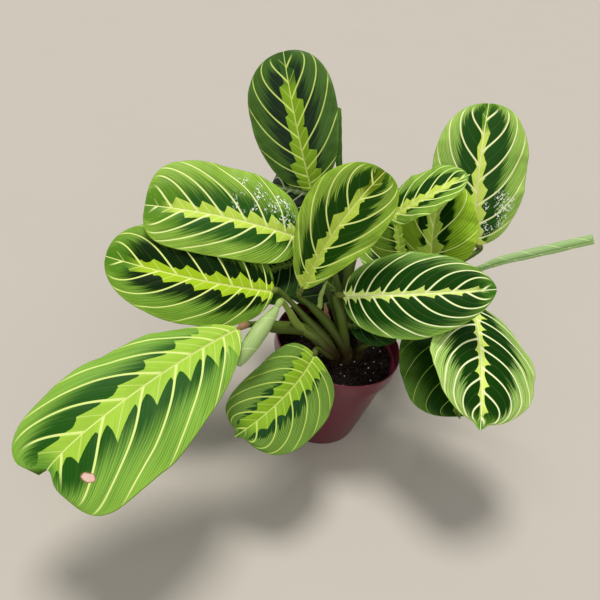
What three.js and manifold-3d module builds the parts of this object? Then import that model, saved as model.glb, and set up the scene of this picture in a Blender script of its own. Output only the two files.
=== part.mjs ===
// A prayer plant in a round plastic nursery pot.
// Millimetres, +Z up. The origin is the centre of the pot's underside, and -Y is the front.

import * as THREE from 'three';
import { mergeVertices } from 'three/addons/utils/BufferGeometryUtils.js';
import Module from 'manifold-3d';

const wasm = await Module();
wasm.setup();

// Pot
const POT_HEIGHT = 90;
const RIM_RADIUS = 52.5;
const RIM_DEPTH = 13;
const NECK_INSET = 3.2;
const BASE_RADIUS = 37.5;
const POT_WALL = 1.3;
const POT_FLOOR = 1.6;
const FOOT_BEVEL = 1.5;
const POT_SEGMENTS = 36;
const DRAIN_HOLES = 6;
const DRAIN_RADIUS = 4;
const DRAIN_CIRCLE = 25;

// Soil
const SOIL_LEVEL = 80;
const SOIL_RELIEF = 0.9;
const SOIL_RINGS = [7, 15, 23, 31, 39, 46];
const SOIL_SEGMENTS = 30;

// Clearance between separate pieces
const GAP = 0.3;
const BLADE_GAP = 0.85;

// Shoots
const STEM_BOTTOM = 62;
const STEM_SHOULDER = SOIL_LEVEL + 4;
const STEM_SIDES = 10;
const PULVINUS_START = 0.75;
const PULVINUS_LENGTH = 7;
const PETIOLE_RADIUS = 2.1;
const PULVINUS_RADIUS = 2.6;
const PETIOLE_END_RADIUS = 1.4;
const USUAL_SHEATH = [2.6, 0.4];
const SHEATH_TAPER = 0.3;
const PETIOLE_SIDES = 6;
const PETIOLE_STEPS = 12;

// Blades
const BLADE_THICKNESS = 0.8;
const BLADE_ROWS = 11;
const BLADE_COLUMNS = 6;
const BASE_HALF_WIDTH = 1.6;
const TIP_HALF_WIDTH = 0.4;
const TIP_SPIKE_WIDTH = 2.4;
const TIP_SPIKE_LENGTH = 0.08;
const BLADE_END = 0.975;
const CUP_NARROWING = 0.25;
const CURL_START = 0.75;

// Every shoot stands in its own round hole in the soil and carries the petioles of its leaves.
const SHOOTS = [
  { name: 'shoot_front', root: [-1, -15], radius: 4.6, top: 93 },
  { name: 'shoot_centre', root: [9.5, -12], radius: 4.6, top: 95 },
  { name: 'shoot_right', root: [19, -3], radius: 4.4, top: 93 },
  { name: 'shoot_back', root: [0, 4], radius: 5.4, top: 94 },
];

// Open leaves. base and tip are the ends of the midrib, halves the widths of its left and right
// half seen along it, and face the way that the upper side looks. bend is the arch of the midrib
// in degrees, fold and droop shape the cross-section, sweep bows the midrib sideways, widest is
// where the blade is widest, and rootRound and tipRound are the bluntness of its two ends.
// sheath is the radius of the stalk's sheathed foot and the share of its length that it wraps.
const LEAVES = [
  {
    name: 'leaf_front_left', shoot: 'shoot_front', base: [-75, -71, 136], tip: [-157, -195, 100],
    halves: [49, 35], face: [0, -0.35, 1], bend: 22, sweep: 3, widest: 0.63, rootRound: 1.5,
    tipRound: 3.8, wave: 2.2, curl: 4,
    petiole: [[-10, -23, 97], [-28, -21, 108], [-51, -32, 113], [-65, -46, 122]],
    sheath: [4.7, 0.78],
  },
  {
    name: 'leaf_front_low', shoot: 'shoot_front', base: [-18, -38, 101], tip: [-58, -118, 83],
    halves: [35, 28], face: [0.1, -0.6, 0.8], bend: 30, widest: 0.52, sweep: -5, rootRound: 2.7,
    tipRound: 2.5,
    petiole: [[-5, -26, 92]],
  },
  {
    name: 'leaf_left_low', shoot: 'shoot_front', base: [-61, -13, 130], tip: [-185, -40, 142],
    halves: [35, 42], face: [-0.1, -0.55, 0.8], bend: 22, rootRound: 2.2, sweep: -5, widest: 0.5,
    tipRound: 2.2,
    petiole: [[-9, -19, 99], [-27, -16, 112]], sheath: [4.4, 0.65],
  },
  {
    name: 'leaf_centre', shoot: 'shoot_centre', base: [-40, -8, 137], tip: [-4, 29, 231],
    halves: [33, 30], face: [-0.25, -0.9, 0.3], bend: 26, fold: 0.3, sweep: -4, widest: 0.58,
    rootRound: 1.4, tipRound: 2.3, cup: 0.7,
    petiole: [[2, -14, 98], [-14, -10, 112], [-30, -10, 124]], sheath: [3.8, 0.7],
  },
  {
    name: 'leaf_right_centre', shoot: 'shoot_centre', base: [-8, -4, 137], tip: [95, -12, 184],
    halves: [33, 34], face: [0, -0.62, 0.78], bend: 18, sweep: 2, widest: 0.48, rootRound: 2.2,
    tipRound: 1.8,
    petiole: [[4, -13, 100], [-5, -11, 122]], sheath: [3.8, 0.75],
  },
  {
    name: 'leaf_right_inner', shoot: 'shoot_centre', base: [4, -7, 113], tip: [44, -3, 118],
    halves: [15, 15], face: [0, -0.5, 0.8], bend: 24, tipRound: 2.2,
    petiole: [[4, -11, 100]],
  },
  {
    name: 'leaf_right_low', shoot: 'shoot_right', base: [73, 18, 127], tip: [100, -53, 90],
    halves: [34, 41], face: [0.1, -0.7, 0.7], bend: 28, rootRound: 2.1, widest: 0.5, tipRound: 2.8,
    petiole: [[18, -11, 98], [34, -8, 112]],
  },
  {
    name: 'leaf_right_front', shoot: 'shoot_right', base: [93, 18, 147], tip: [107, -76, 107],
    halves: [50, 43], face: [0.28, -0.4, 0.8], bend: 30, rootRound: 1.8, sweep: 1, widest: 0.54,
    tipRound: 1.8,
    petiole: [[21, 1, 98], [46, 18, 122]],
  },
  {
    name: 'leaf_back_right', shoot: 'shoot_right', base: [93, 79, 165], tip: [68, 132, 267],
    halves: [38, 40], face: [0.1, -0.9, 0.5], bend: 24, sweep: -5, widest: 0.53, tipRound: 2.3,
    petiole: [[20, 3, 98], [44, 34, 130]],
  },
  {
    name: 'leaf_left_high', shoot: 'shoot_back', base: [-53, 24, 160], tip: [-169, -9, 173],
    halves: [31, 40], face: [-0.1, -0.7, 0.75], bend: 22, widest: 0.6, sweep: 2, rootRound: 3,
    tipRound: 3.2,
    petiole: [[-3, 6, 102], [-10, 10, 128], [-26, 20, 148]], sheath: [3.2, 0.6],
  },
  {
    name: 'leaf_back_tall', shoot: 'shoot_back', base: [-54, 67, 181], tip: [-104, 111, 270],
    halves: [36, 35], face: [-0.1, -0.9, 0.5], bend: 18, sweep: -1, widest: 0.59, rootRound: 2,
    tipRound: 2.3,
    petiole: [[-2, 8, 100], [-14, 16, 132], [-34, 44, 160]],
  },
  {
    name: 'leaf_right_high', shoot: 'shoot_back', base: [11, 58, 179], tip: [61, 62, 231],
    halves: [28, 17], face: [-0.2, -0.3, 1], bend: 34, rootRound: 2.7, sweep: 5, widest: 0.57,
    tipRound: 1.9,
    petiole: [[1, 9, 104], [-6, 18, 132], [-6, 34, 156]], sheath: [3.8, 0.7],
  },
  {
    name: 'leaf_right_back', shoot: 'shoot_back', base: [59, 54, 152], tip: [49, 80, 217],
    halves: [26, 38], face: [-0.5, -0.8, 0.4], bend: 20, rootRound: 2.2, sweep: -3, fold: 0.35,
    widest: 0.42, tipRound: 1.9,
    petiole: [[5, 10, 100], [24, 30, 122]],
  },
  {
    name: 'leaf_back_inner', shoot: 'shoot_back', base: [36, 70, 138], tip: [10, 96, 183],
    halves: [34, 22], face: [0.5, -0.8, 0.4], bend: 20, fold: 0.4, widest: 0.5, tipRound: 2.1,
    petiole: [[4, 11, 100], [20, 32, 118]],
  },
  {
    name: 'leaf_back_left', shoot: 'shoot_back', base: [-32, 90, 161], tip: [-90, 82, 166],
    halves: [22, 26], face: [-0.1, -0.8, 0.5], bend: 24, sweep: 3, widest: 0.5, tipRound: 2.5,
    petiole: [[-1, 10, 104], [-10, 40, 136]],
  },
  {
    name: 'leaf_left_inner', shoot: 'shoot_back', base: [-45, 29, 136], tip: [-94, 2, 116],
    halves: [30, 30], face: [-0.1, -0.4, 0.9], bend: 24, widest: 0.5, tipRound: 2.3,
    petiole: [[-4, 5, 100], [-20, 18, 122]],
  },
  {
    name: 'leaf_rear_right', shoot: 'shoot_back', base: [26, 66, 114], tip: [44, 154, 96],
    halves: [31, 31], face: [0, 0.1, 1], bend: 36, tipRound: 2.3,
    petiole: [[4, 12, 97], [14, 34, 108]],
  },
  {
    name: 'leaf_rear_left', shoot: 'shoot_back', base: [2, 40, 102], tip: [-80, 90, 108],
    halves: [34, 30], face: [-0.1, -0.5, 0.85], bend: 24, tipRound: 2.3,
    petiole: [[6, 18, 97]],
  },
];

// What a leaf has where its own entry says nothing else.
const USUAL_LEAF = {
  bend: 20, fold: 0.2, droop: 0.22, sweep: 0, widest: 0.52, rootRound: 2, tipRound: 2.1, cup: 0,
  wave: 1.4, waves: 3, curl: 0,
};

// Young leaves, still rolled lengthwise. radii are those at the base, the middle and the tip.
const ROLLED_LEAVES = [
  {
    name: 'rolled_leaf_left', shoot: 'shoot_front', radii: [4.2, 6.6, 3], turns: 1.2,
    path: [[-54, -46, 142], [-62, -71, 134], [-69, -89, 120]],
    petiole: [[-12, -22, 100], [-34, -24, 112], [-45, -32, 131]], sheath: [3.2, 0.7],
  },
  {
    name: 'rolled_leaf_right', shoot: 'shoot_right', radii: [2.7, 4, 4], turns: 1.3,
    path: [[92, 39, 167], [106, 39, 180], [132, 40, 197], [160, 39, 217]],
    petiole: [[20, 3, 99], [48, 28, 130], [74, 38, 154]],
  },
  {
    name: 'rolled_leaf_back', shoot: 'shoot_back', radii: [3, 3.6, 3.2], turns: 1.3,
    path: [[-37, 101, 192], [-45, 114, 214], [-51, 125, 232]],
    petiole: [[0, 10, 104], [-12, 44, 146], [-28, 80, 178]],
  },
];
const ROLL_PITCH = 1.3;
const ROLL_ROWS = 6;
const ROLL_COLUMNS = 12;

const vec = (p) => new THREE.Vector3(...p);

const COLOURS = {
  pot: new THREE.MeshStandardMaterial({ color: 0x6e2433, roughness: 0.38, metalness: 0 }),
  soil: new THREE.MeshStandardMaterial({ color: 0x1c1512, roughness: 0.95, metalness: 0 }),
  shoot: new THREE.MeshStandardMaterial({ color: 0x6f8a3c, roughness: 0.5, metalness: 0 }),
  blade: new THREE.MeshStandardMaterial({ color: 0x2f7021, roughness: 0.42, metalness: 0 }),
  rolled: new THREE.MeshStandardMaterial({ color: 0x9fc56a, roughness: 0.45, metalness: 0 }),
};

// A closed solid from the faces' corner numbers and the corners themselves.
function geometryFrom(corners, faces) {
  const geometry = new THREE.BufferGeometry();
  geometry.setAttribute('position', new THREE.Float32BufferAttribute(corners.flat(), 3));
  geometry.setIndex(faces.flat());
  return geometry;
}

function toManifold(source) {
  const geometry = source.clone();
  geometry.deleteAttribute('normal');
  geometry.deleteAttribute('uv');
  const merged = mergeVertices(geometry, 1e-4);
  const vertProperties = new Float32Array(merged.attributes.position.array);
  const triVerts = new Uint32Array(merged.index.array);
  return new wasm.Manifold(new wasm.Mesh({ numProp: 3, vertProperties, triVerts }));
}

function fromManifold(solid) {
  const mesh = solid.getMesh();
  const geometry = new THREE.BufferGeometry();
  geometry.setAttribute('position', new THREE.Float32BufferAttribute(mesh.vertProperties, 3));
  geometry.setIndex([...mesh.triVerts]);
  return geometry;
}

// Half the blade's width at s, from 0 at the base to 1 at the tip, as a share of its widest:
// two quarter superellipses that meet where the blade is widest.
function outline(leaf, s) {
  const u = Math.min(s / BLADE_END, 1);
  const nearBase = u < leaf.widest;
  const v = nearBase ? (leaf.widest - u) / leaf.widest : (u - leaf.widest) / (1 - leaf.widest);
  const k = nearBase ? leaf.rootRound : leaf.tipRound;
  return Math.max(1 - v ** k, 0) ** (1 / k);
}

function leafFrame(leaf) {
  const base = vec(leaf.base);
  const chord = vec(leaf.tip).sub(base);
  const along = chord.clone().normalize();
  const across = along.clone().cross(vec(leaf.face)).normalize();
  const up = across.clone().cross(along);
  const bend = THREE.MathUtils.degToRad(leaf.bend);
  const length = chord.length() * (bend / 2) / Math.sin(bend / 2);
  return { base, along, across, up, bend, length };
}

// The blade's middle surface. s runs from base to tip and t from -1 at the left margin to +1 at
// the right. The midrib is a circular arc, and each cross-section is a shallow V whose sides
// droop, with a wave that grows towards the margin.
function bladePoint(leaf, frame, s, t) {
  const { base, along, across, up, bend, length } = frame;
  const angle = bend / 2 - bend * s;
  const x = length * (Math.sin(bend / 2) - Math.sin(angle)) / bend;
  const z = length * (Math.cos(angle) - Math.cos(bend / 2)) / bend;
  const half = leaf.halves[t < 0 ? 0 : 1];
  const endWidth = s < 0.5
    ? BASE_HALF_WIDTH
    : Math.min((1 - s) / TIP_SPIKE_LENGTH, 1) * TIP_SPIKE_WIDTH + TIP_HALF_WIDTH;
  const width = Math.max(outline(leaf, s) * half, endWidth);
  const cup = leaf.cup * (1 - s) ** 3;
  const side = Math.abs(t);
  const ripple = Math.sin(2 * Math.PI * leaf.waves * s + (t > 0 ? 1.2 : 0)) * Math.sin(Math.PI * s);
  const lift = width * ((leaf.fold + cup) * side - leaf.droop * side ** 2)
    + leaf.wave * side ** 3 * ripple
    - leaf.curl * Math.max((s - CURL_START) / (1 - CURL_START), 0) ** 2;
  const normal = up.clone().multiplyScalar(Math.cos(angle)).addScaledVector(along, -Math.sin(angle));
  const bow = leaf.sweep * 4 * s * (1 - s);
  return base.clone()
    .addScaledVector(along, x)
    .addScaledVector(up, z)
    .addScaledVector(across, bow + width * t * (1 - CUP_NARROWING * cup * side))
    .addScaledVector(normal, lift);
}

// A thin closed solid on a surface: two grids half a thickness to either side of it, split into
// triangles alike, and the four narrow walls between them.
function sheetSolid(surface, rows, columns, thickness, evenRows = false) {
  const step = 1e-3;
  const top = [];
  const bottom = [];
  for (let i = 0; i <= rows; i += 1) {
    const s = evenRows ? i / rows : 0.5 - 0.5 * Math.cos(Math.PI * i / rows);
    for (let j = 0; j <= columns; j += 1) {
      const t = -1 + 2 * j / columns;
      const alongS = surface(Math.min(s + step, 1), t).sub(surface(Math.max(s - step, 0), t));
      const acrossT = surface(s, Math.min(t + step, 1)).sub(surface(s, Math.max(t - step, -1)));
      const normal = acrossT.cross(alongS).normalize();
      const point = surface(s, t);
      top.push(point.clone().addScaledVector(normal, thickness / 2).toArray());
      bottom.push(point.clone().addScaledVector(normal, -thickness / 2).toArray());
    }
  }
  const count = top.length;
  const at = (i, j) => i * (columns + 1) + j;
  const faces = [];
  const quad = (a, b, c, d) => faces.push([a, b, c], [a, c, d]);
  for (let i = 0; i < rows; i += 1) {
    for (let j = 0; j < columns; j += 1) {
      quad(at(i, j), at(i, j + 1), at(i + 1, j + 1), at(i + 1, j));
      faces.push([count + at(i, j), count + at(i + 1, j + 1), count + at(i, j + 1)]);
      faces.push([count + at(i, j), count + at(i + 1, j), count + at(i + 1, j + 1)]);
    }
    quad(at(i, 0), at(i + 1, 0), count + at(i + 1, 0), count + at(i, 0));
    quad(at(i + 1, columns), at(i, columns), count + at(i, columns), count + at(i + 1, columns));
  }
  for (let j = 0; j < columns; j += 1) {
    quad(at(0, j + 1), at(0, j), count + at(0, j), count + at(0, j + 1));
    quad(at(rows, j), at(rows, j + 1), count + at(rows, j + 1), count + at(rows, j));
  }
  return geometryFrom([...top, ...bottom], faces);
}

function bladeGeometry(leaf) {
  const frame = leafFrame(leaf);
  const surface = (s, t) => bladePoint(leaf, frame, s, t);
  return sheetSolid(surface, BLADE_ROWS, BLADE_COLUMNS, BLADE_THICKNESS);
}

// The radius of a young leaf's roll, on a parabola through its three given radii.
function rollRadius(roll, s) {
  const [start, middle, end] = roll.radii;
  return start * (1 - s) * (1 - 2 * s) + middle * 4 * s * (1 - s) + end * s * (2 * s - 1);
}

// A blade rolled into a scroll round its path. The radius falls by the pitch in each turn.
function rollPoint(roll, curve, s, t) {
  const centre = curve.getPoint(s);
  const along = curve.getTangent(s);
  const side = along.clone().cross(new THREE.Vector3(0, 0, 1)).normalize();
  const up = side.clone().cross(along);
  const turned = roll.turns * (t + 1) / 2;
  const angle = 2 * Math.PI * turned;
  const radius = rollRadius(roll, s) - ROLL_PITCH * turned;
  return centre.addScaledVector(side, radius * Math.cos(angle))
    .addScaledVector(up, -radius * Math.sin(angle));
}

function rollGeometry(roll) {
  const curve = new THREE.CatmullRomCurve3(roll.path.map(vec), false, 'catmullrom', 0.5);
  const surface = (s, t) => rollPoint(roll, curve, s, t);
  return sheetSolid(surface, ROLL_ROWS, ROLL_COLUMNS, BLADE_THICKNESS, true);
}

// A round solid along a curve, with its radius given at each step, and closed by flat ends.
function tubeSolid(curve, radiusAt, sides, steps) {
  const corners = [];
  const faces = [];
  const lean = new THREE.Vector3(0.31, 0.2, 0.93).normalize();
  for (let i = 0; i <= steps; i += 1) {
    const u = i / steps;
    const centre = curve.getPoint(u);
    const along = curve.getTangent(u);
    const side = along.clone().cross(lean).normalize();
    const up = side.clone().cross(along);
    for (let j = 0; j < sides; j += 1) {
      const angle = 2 * Math.PI * j / sides;
      const corner = centre.clone()
        .addScaledVector(side, radiusAt(u) * Math.cos(angle))
        .addScaledVector(up, radiusAt(u) * Math.sin(angle));
      corners.push(corner.toArray());
    }
  }
  for (let i = 0; i < steps; i += 1) {
    for (let j = 0; j < sides; j += 1) {
      const a = i * sides + j;
      const b = i * sides + (j + 1) % sides;
      faces.push([a, a + sides, b + sides], [a, b + sides, b]);
    }
  }
  const last = steps * sides;
  for (let j = 1; j < sides - 1; j += 1) {
    faces.push([0, j, j + 1], [last, last + j + 1, last + j]);
  }
  return geometryFrom(corners, faces);
}

// The direction in which a blade or a roll sets out from its base.
function firstDirection(piece) {
  if (piece.path) {
    return vec(piece.path[1]).sub(vec(piece.path[0])).normalize();
  }
  const { along, across, up, bend, length } = leafFrame(piece);
  return along.clone().multiplyScalar(Math.cos(bend / 2))
    .addScaledVector(up, Math.sin(bend / 2))
    .addScaledVector(across, 4 * piece.sweep / length)
    .normalize();
}

// A petiole runs from inside its stem to a gap short of its blade. Its foot is a wider sheath, and
// it swells into a pulvinus near its end and then narrows.
function petioleGeometry(shoot, piece) {
  const direction = firstDirection(piece);
  const end = vec(piece.base ?? piece.path[0]);
  const points = [
    new THREE.Vector3(...shoot.root, STEM_SHOULDER),
    ...piece.petiole.map(vec),
    end.clone().addScaledVector(direction, -PULVINUS_LENGTH),
    end.clone().addScaledVector(direction, -BLADE_GAP),
  ];
  const curve = new THREE.CatmullRomCurve3(points, false, 'catmullrom', 0.5);
  const swelling = PULVINUS_RADIUS - PETIOLE_RADIUS;
  const taper = PETIOLE_RADIUS - PETIOLE_END_RADIUS;
  const [sheathRadius, sheathEnd] = piece.sheath ?? USUAL_SHEATH;
  const radiusAt = (u) => {
    const v = Math.max((u - PULVINUS_START) / (1 - PULVINUS_START), 0);
    const wrapped = 1 - THREE.MathUtils.smoothstep(u, sheathEnd - SHEATH_TAPER, sheathEnd);
    const plain = PETIOLE_RADIUS + (sheathRadius - PETIOLE_RADIUS) * wrapped;
    return plain + swelling * Math.sin(Math.PI * v) - taper * v ** 3;
  };
  return tubeSolid(curve, radiusAt, PETIOLE_SIDES, PETIOLE_STEPS);
}

// A stem wrapped in leaf sheaths: straight in the soil and tapering above it.
function stemGeometry(shoot) {
  const profile = [
    new THREE.Vector2(0, STEM_BOTTOM),
    new THREE.Vector2(shoot.radius, STEM_BOTTOM),
    new THREE.Vector2(shoot.radius, STEM_SHOULDER),
    new THREE.Vector2(shoot.radius * 0.8, STEM_SHOULDER + 4),
    new THREE.Vector2(shoot.radius * 0.35, shoot.top),
    new THREE.Vector2(0, shoot.top),
  ];
  return latheSolid(profile, STEM_SIDES).translate(...shoot.root, 0);
}

function shootGeometry(shoot) {
  const pieces = [...LEAVES, ...ROLLED_LEAVES].filter((piece) => piece.shoot === shoot.name);
  const solids = pieces.map((piece) => toManifold(petioleGeometry(shoot, piece)));
  const stem = toManifold(stemGeometry(shoot));
  return fromManifold(solids.reduce((whole, solid) => whole.add(solid), stem));
}

// A solid of revolution round Z from a profile of (radius, height) points.
function latheSolid(profile, segments) {
  return new THREE.LatheGeometry(profile, segments).rotateX(Math.PI / 2);
}

const shoulder = POT_HEIGHT - RIM_DEPTH;
const neckRadius = RIM_RADIUS - NECK_INSET;
const innerRim = RIM_RADIUS - POT_WALL;

function potGeometry() {
  const profile = [
    [0, 0],
    [BASE_RADIUS - FOOT_BEVEL, 0],
    [BASE_RADIUS, FOOT_BEVEL],
    [neckRadius, shoulder],
    [RIM_RADIUS - 0.5, shoulder],
    [RIM_RADIUS - 0.3, POT_HEIGHT - 2.2],
    [RIM_RADIUS, POT_HEIGHT - 1.8],
    [RIM_RADIUS, POT_HEIGHT - 0.3],
    [RIM_RADIUS - 0.3, POT_HEIGHT],
    [innerRim, POT_HEIGHT],
    [innerRim - 0.5, shoulder + 1.5],
    [neckRadius - POT_WALL, shoulder - 1],
    [BASE_RADIUS - POT_WALL, POT_FLOOR],
    [0, POT_FLOOR],
  ].map(([radius, height]) => new THREE.Vector2(radius, height));
  const holes = Array.from({ length: DRAIN_HOLES }, (_, i) => {
    const angle = 2 * Math.PI * i / DRAIN_HOLES;
    const hole = new THREE.CylinderGeometry(DRAIN_RADIUS, DRAIN_RADIUS, 12, 12);
    hole.rotateX(Math.PI / 2);
    hole.translate(DRAIN_CIRCLE * Math.cos(angle), DRAIN_CIRCLE * Math.sin(angle), 0);
    return toManifold(hole);
  });
  const body = toManifold(latheSolid(profile, POT_SEGMENTS));
  return fromManifold(holes.reduce((whole, hole) => whole.subtract(hole), body));
}

// The height of the soil at a point: low clumps, level at the wall and round the stems.
function soilHeight(x, y) {
  const clumps = Math.sin(x * 0.31 + 0.7) * Math.cos(y * 0.27) + 0.6 * Math.sin(x * 0.13 - y * 0.55);
  const calm = Math.min(Math.hypot(x, y) / 40, 1);
  return SOIL_LEVEL + SOIL_RELIEF * clumps * (0.25 + 0.75 * calm) - 0.6 * calm;
}

function soilGeometry() {
  const top = SOIL_RINGS.at(-1);
  const foot = BASE_RADIUS - POT_WALL - GAP;
  const neck = neckRadius - POT_WALL - GAP - 0.2;
  const rings = [
    ...SOIL_RINGS.map((radius) => ({ radius, height: null })),
    { radius: top + 1.6, height: SOIL_LEVEL - 1.6 },
    { radius: neck, height: shoulder - 1.2 },
    { radius: foot, height: POT_FLOOR + GAP },
  ];
  const corners = [[0, 0, soilHeight(0, 0)]];
  const faces = [];
  for (const { radius, height } of rings) {
    for (let j = 0; j < SOIL_SEGMENTS; j += 1) {
      const angle = 2 * Math.PI * j / SOIL_SEGMENTS;
      const x = radius * Math.cos(angle);
      const y = radius * Math.sin(angle);
      corners.push([x, y, height ?? soilHeight(x, y)]);
    }
  }
  corners.push([0, 0, POT_FLOOR + GAP]);
  const last = corners.length - 1;
  const at = (ring, j) => 1 + ring * SOIL_SEGMENTS + j % SOIL_SEGMENTS;
  for (let j = 0; j < SOIL_SEGMENTS; j += 1) {
    faces.push([0, at(0, j), at(0, j + 1)]);
    for (let ring = 0; ring < rings.length - 1; ring += 1) {
      faces.push([at(ring, j), at(ring + 1, j), at(ring + 1, j + 1)]);
      faces.push([at(ring, j), at(ring + 1, j + 1), at(ring, j + 1)]);
    }
    faces.push([at(rings.length - 1, j + 1), at(rings.length - 1, j), last]);
  }
  const body = toManifold(geometryFrom(corners, faces));
  const holes = SHOOTS.map((shoot) => {
    const radius = shoot.radius + GAP + 0.15;
    const depth = SOIL_LEVEL + 10 - STEM_BOTTOM + GAP;
    const hole = new THREE.CylinderGeometry(radius, radius, depth, STEM_SIDES * 2);
    hole.rotateX(Math.PI / 2).translate(...shoot.root, STEM_BOTTOM - GAP + depth / 2);
    return toManifold(hole);
  });
  return fromManifold(holes.reduce((whole, hole) => whole.subtract(hole), body));
}

function named(name, geometry, material) {
  const mesh = new THREE.Mesh(geometry, material);
  mesh.name = name;
  return mesh;
}

for (const leaf of LEAVES) {
  Object.entries(USUAL_LEAF).forEach(([key, value]) => {
    leaf[key] ??= value;
  });
}

const plant = new THREE.Group();
plant.add(named('pot', potGeometry(), COLOURS.pot));
plant.add(named('soil', soilGeometry(), COLOURS.soil));
for (const shoot of SHOOTS) {
  plant.add(named(shoot.name, shootGeometry(shoot), COLOURS.shoot));
}
for (const leaf of LEAVES) {
  plant.add(named(leaf.name, bladeGeometry(leaf), COLOURS.blade));
}
for (const roll of ROLLED_LEAVES) {
  plant.add(named(roll.name, rollGeometry(roll), COLOURS.rolled));
}

export default plant;
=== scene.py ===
"""A prayer plant in a round nursery pot: its looks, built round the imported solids.

Sizes are in millimetres and become metres where a mesh is made. The pot stands on the floor at
z = 0, and -Y is the front.
"""

import math

import bpy
import numpy as np
from mathutils import Matrix


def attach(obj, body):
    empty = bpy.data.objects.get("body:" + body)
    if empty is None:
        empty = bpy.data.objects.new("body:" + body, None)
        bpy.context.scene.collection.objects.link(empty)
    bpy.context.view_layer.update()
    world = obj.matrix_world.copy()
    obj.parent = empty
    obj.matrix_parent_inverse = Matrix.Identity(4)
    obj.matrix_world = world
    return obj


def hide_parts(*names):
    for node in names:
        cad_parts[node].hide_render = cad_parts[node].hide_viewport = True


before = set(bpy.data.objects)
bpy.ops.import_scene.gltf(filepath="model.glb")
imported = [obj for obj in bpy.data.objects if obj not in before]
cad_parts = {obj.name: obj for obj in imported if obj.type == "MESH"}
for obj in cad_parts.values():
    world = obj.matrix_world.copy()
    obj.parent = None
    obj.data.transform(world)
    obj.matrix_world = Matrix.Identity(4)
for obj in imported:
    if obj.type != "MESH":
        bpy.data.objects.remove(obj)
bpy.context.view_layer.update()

MM = 0.001
BODY = "root"

# The photograph's camera: its focal length in pixels of a square picture 600 pixels wide, the
# angle at which it looks down, how far it leans, and where it stands from the middle of the rim.
PICTURE_PIXELS = 600
FOCAL_PIXELS = 589
SENSOR_WIDTH = 36
CAMERA_PITCH = 37.36
CAMERA_ROLL = 15.1
CAMERA_DISTANCE = 486.4
CAMERA_OFFSET = (32.16, -32.74)

# Floor and light
LIGHT_COLOUR = (1.0, 0.98, 0.94)
SURROUNDING_COLOUR = (0.97, 0.985, 1.0, 1.0)
SURROUNDING_STRENGTH = 0.3
FLOOR_REACH = 6000

# Pot and soil
POT_HEIGHT = 90
RIM_RADIUS = 52.5
RIM_DEPTH = 13
NECK_RADIUS = 49.3
BASE_RADIUS = 37.5
POT_WALL = 1.3
POT_FLOOR = 1.6
DRAIN_HOLES = 6
DRAIN_RADIUS = 4
DRAIN_CIRCLE = 25
TURN_START = 0.01
POT_SEGMENTS = 160
DRILL_SEGMENTS = 32
SHARP_EDGE = 40
SOIL_LEVEL = 80
SOIL_RADIUS = 47.4
SOIL_RINGS = 90
SOIL_SEGMENTS = 260
CLODS = [(6, 1.1), (2.6, 0.8), (1.1, 0.4)]
CRUMB_RINGS = 4
CRUMB_SIDES = 6

# Stems and leaf stalks
STEM_BOTTOM = 62
STEM_SHOULDER = SOIL_LEVEL + 4
STALK_RADIUS = 2.1
PULVINUS_RADIUS = 2.6
PULVINUS_LENGTH = 7
PULVINUS_START = 0.75
USUAL_SHEATH = (2.6, 0.4)
SHEATH_TAPER = 0.3
STALK_RINGS = 72
STALK_SIDES = 28
STEM_RINGS = 30
STEM_SIDES = 40

# Blades, rolls and strips of old sheath
BLADE_THICKNESS = 0.5
BLADE_ROWS = 150
BLADE_COLUMNS = 76
BASE_HALF_WIDTH = 1.6
TIP_HALF_WIDTH = 0.4
DENT_HALF_WIDTH = 9
CURL_START = 0.75
FRILL_HEIGHT = 0.35
QUILT_HEIGHT = 0.42
GROOVE_DEPTH = 0.5
GROOVE_HALF_WIDTH = 1.1
KEEL_HEIGHT = 1.1
KEEL_HALF_WIDTH = 0.9
TIP_EASE = 0.12
DRY_SPOT_SIZE = (5, 2.6, 3)
ROLL_ROWS = 90
ROLL_COLUMNS = 110
ROLL_THICKNESS = 0.6
ROLL_PITCH = 1.3
STRIP_ROWS = 48
STRIP_COLUMNS = 24
STRIP_THICKNESS = 0.3

# Colours as they look on a screen, from 0 to 255. A pair is the darker and the lighter shade.
MIDRIB_BROWN = (150, 120, 84)
DRY_RIM = (150, 116, 84)
DRY_SKIN = (226, 190, 176)
# Pale water marks, and painted glints on them.
WATER_MARK_AND_GLINT = (244, 250, 236)
UNDERSIDE_GREENS = ((92, 128, 62), (132, 164, 90))
UNDERSIDE_BAND = (166, 192, 100)
UNDERSIDE_VEIN = (186, 202, 128)
STALK_OLIVES = ((34, 50, 6), (84, 106, 24))
PALE_STALK_GREENS = ((128, 156, 58), (168, 190, 92))
STALK_LINE = (104, 124, 44)
STALK_FRECKLE = (84, 64, 36)
STALK_FOOT = (80, 46, 26)
# A soil stain mixed with painted shade, for the stalks low down near the soil.
SOIL_STAIN_AND_SHADE = (44, 38, 14)
KNEE_GREEN = (140, 146, 70)
PALE_KNEE = (170, 198, 116)
BROWN_KNEE = (156, 112, 88)
POT_REDS = ((84, 24, 38), (108, 34, 50))
POT_SCUFF = (160, 96, 104)
POT_DUST = (52, 36, 30)
PEAT_SHADES = ((9, 7, 7), (32, 25, 21))
PEAT_FIBRE = (70, 50, 36)
PEAT_GRIT = (168, 158, 146)
BARK_SHADES = ((17, 12, 10), (56, 40, 31))
GRIT_SHADES = ((170, 162, 150), (226, 222, 214))
FLOOR_SHADES = ((192, 185, 175), (195, 188, 178))

# Every shoot stands in the soil and carries the stalks of its leaves.
SHOOTS = [
    dict(name="shoot_front", root=(-1, -15), radius=4.6, top=93),
    dict(name="shoot_centre", root=(9.5, -12), radius=4.6, top=95),
    dict(name="shoot_right", root=(19, -3), radius=4.4, top=93),
    dict(name="shoot_back", root=(0, 4), radius=5.4, top=94),
]
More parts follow.
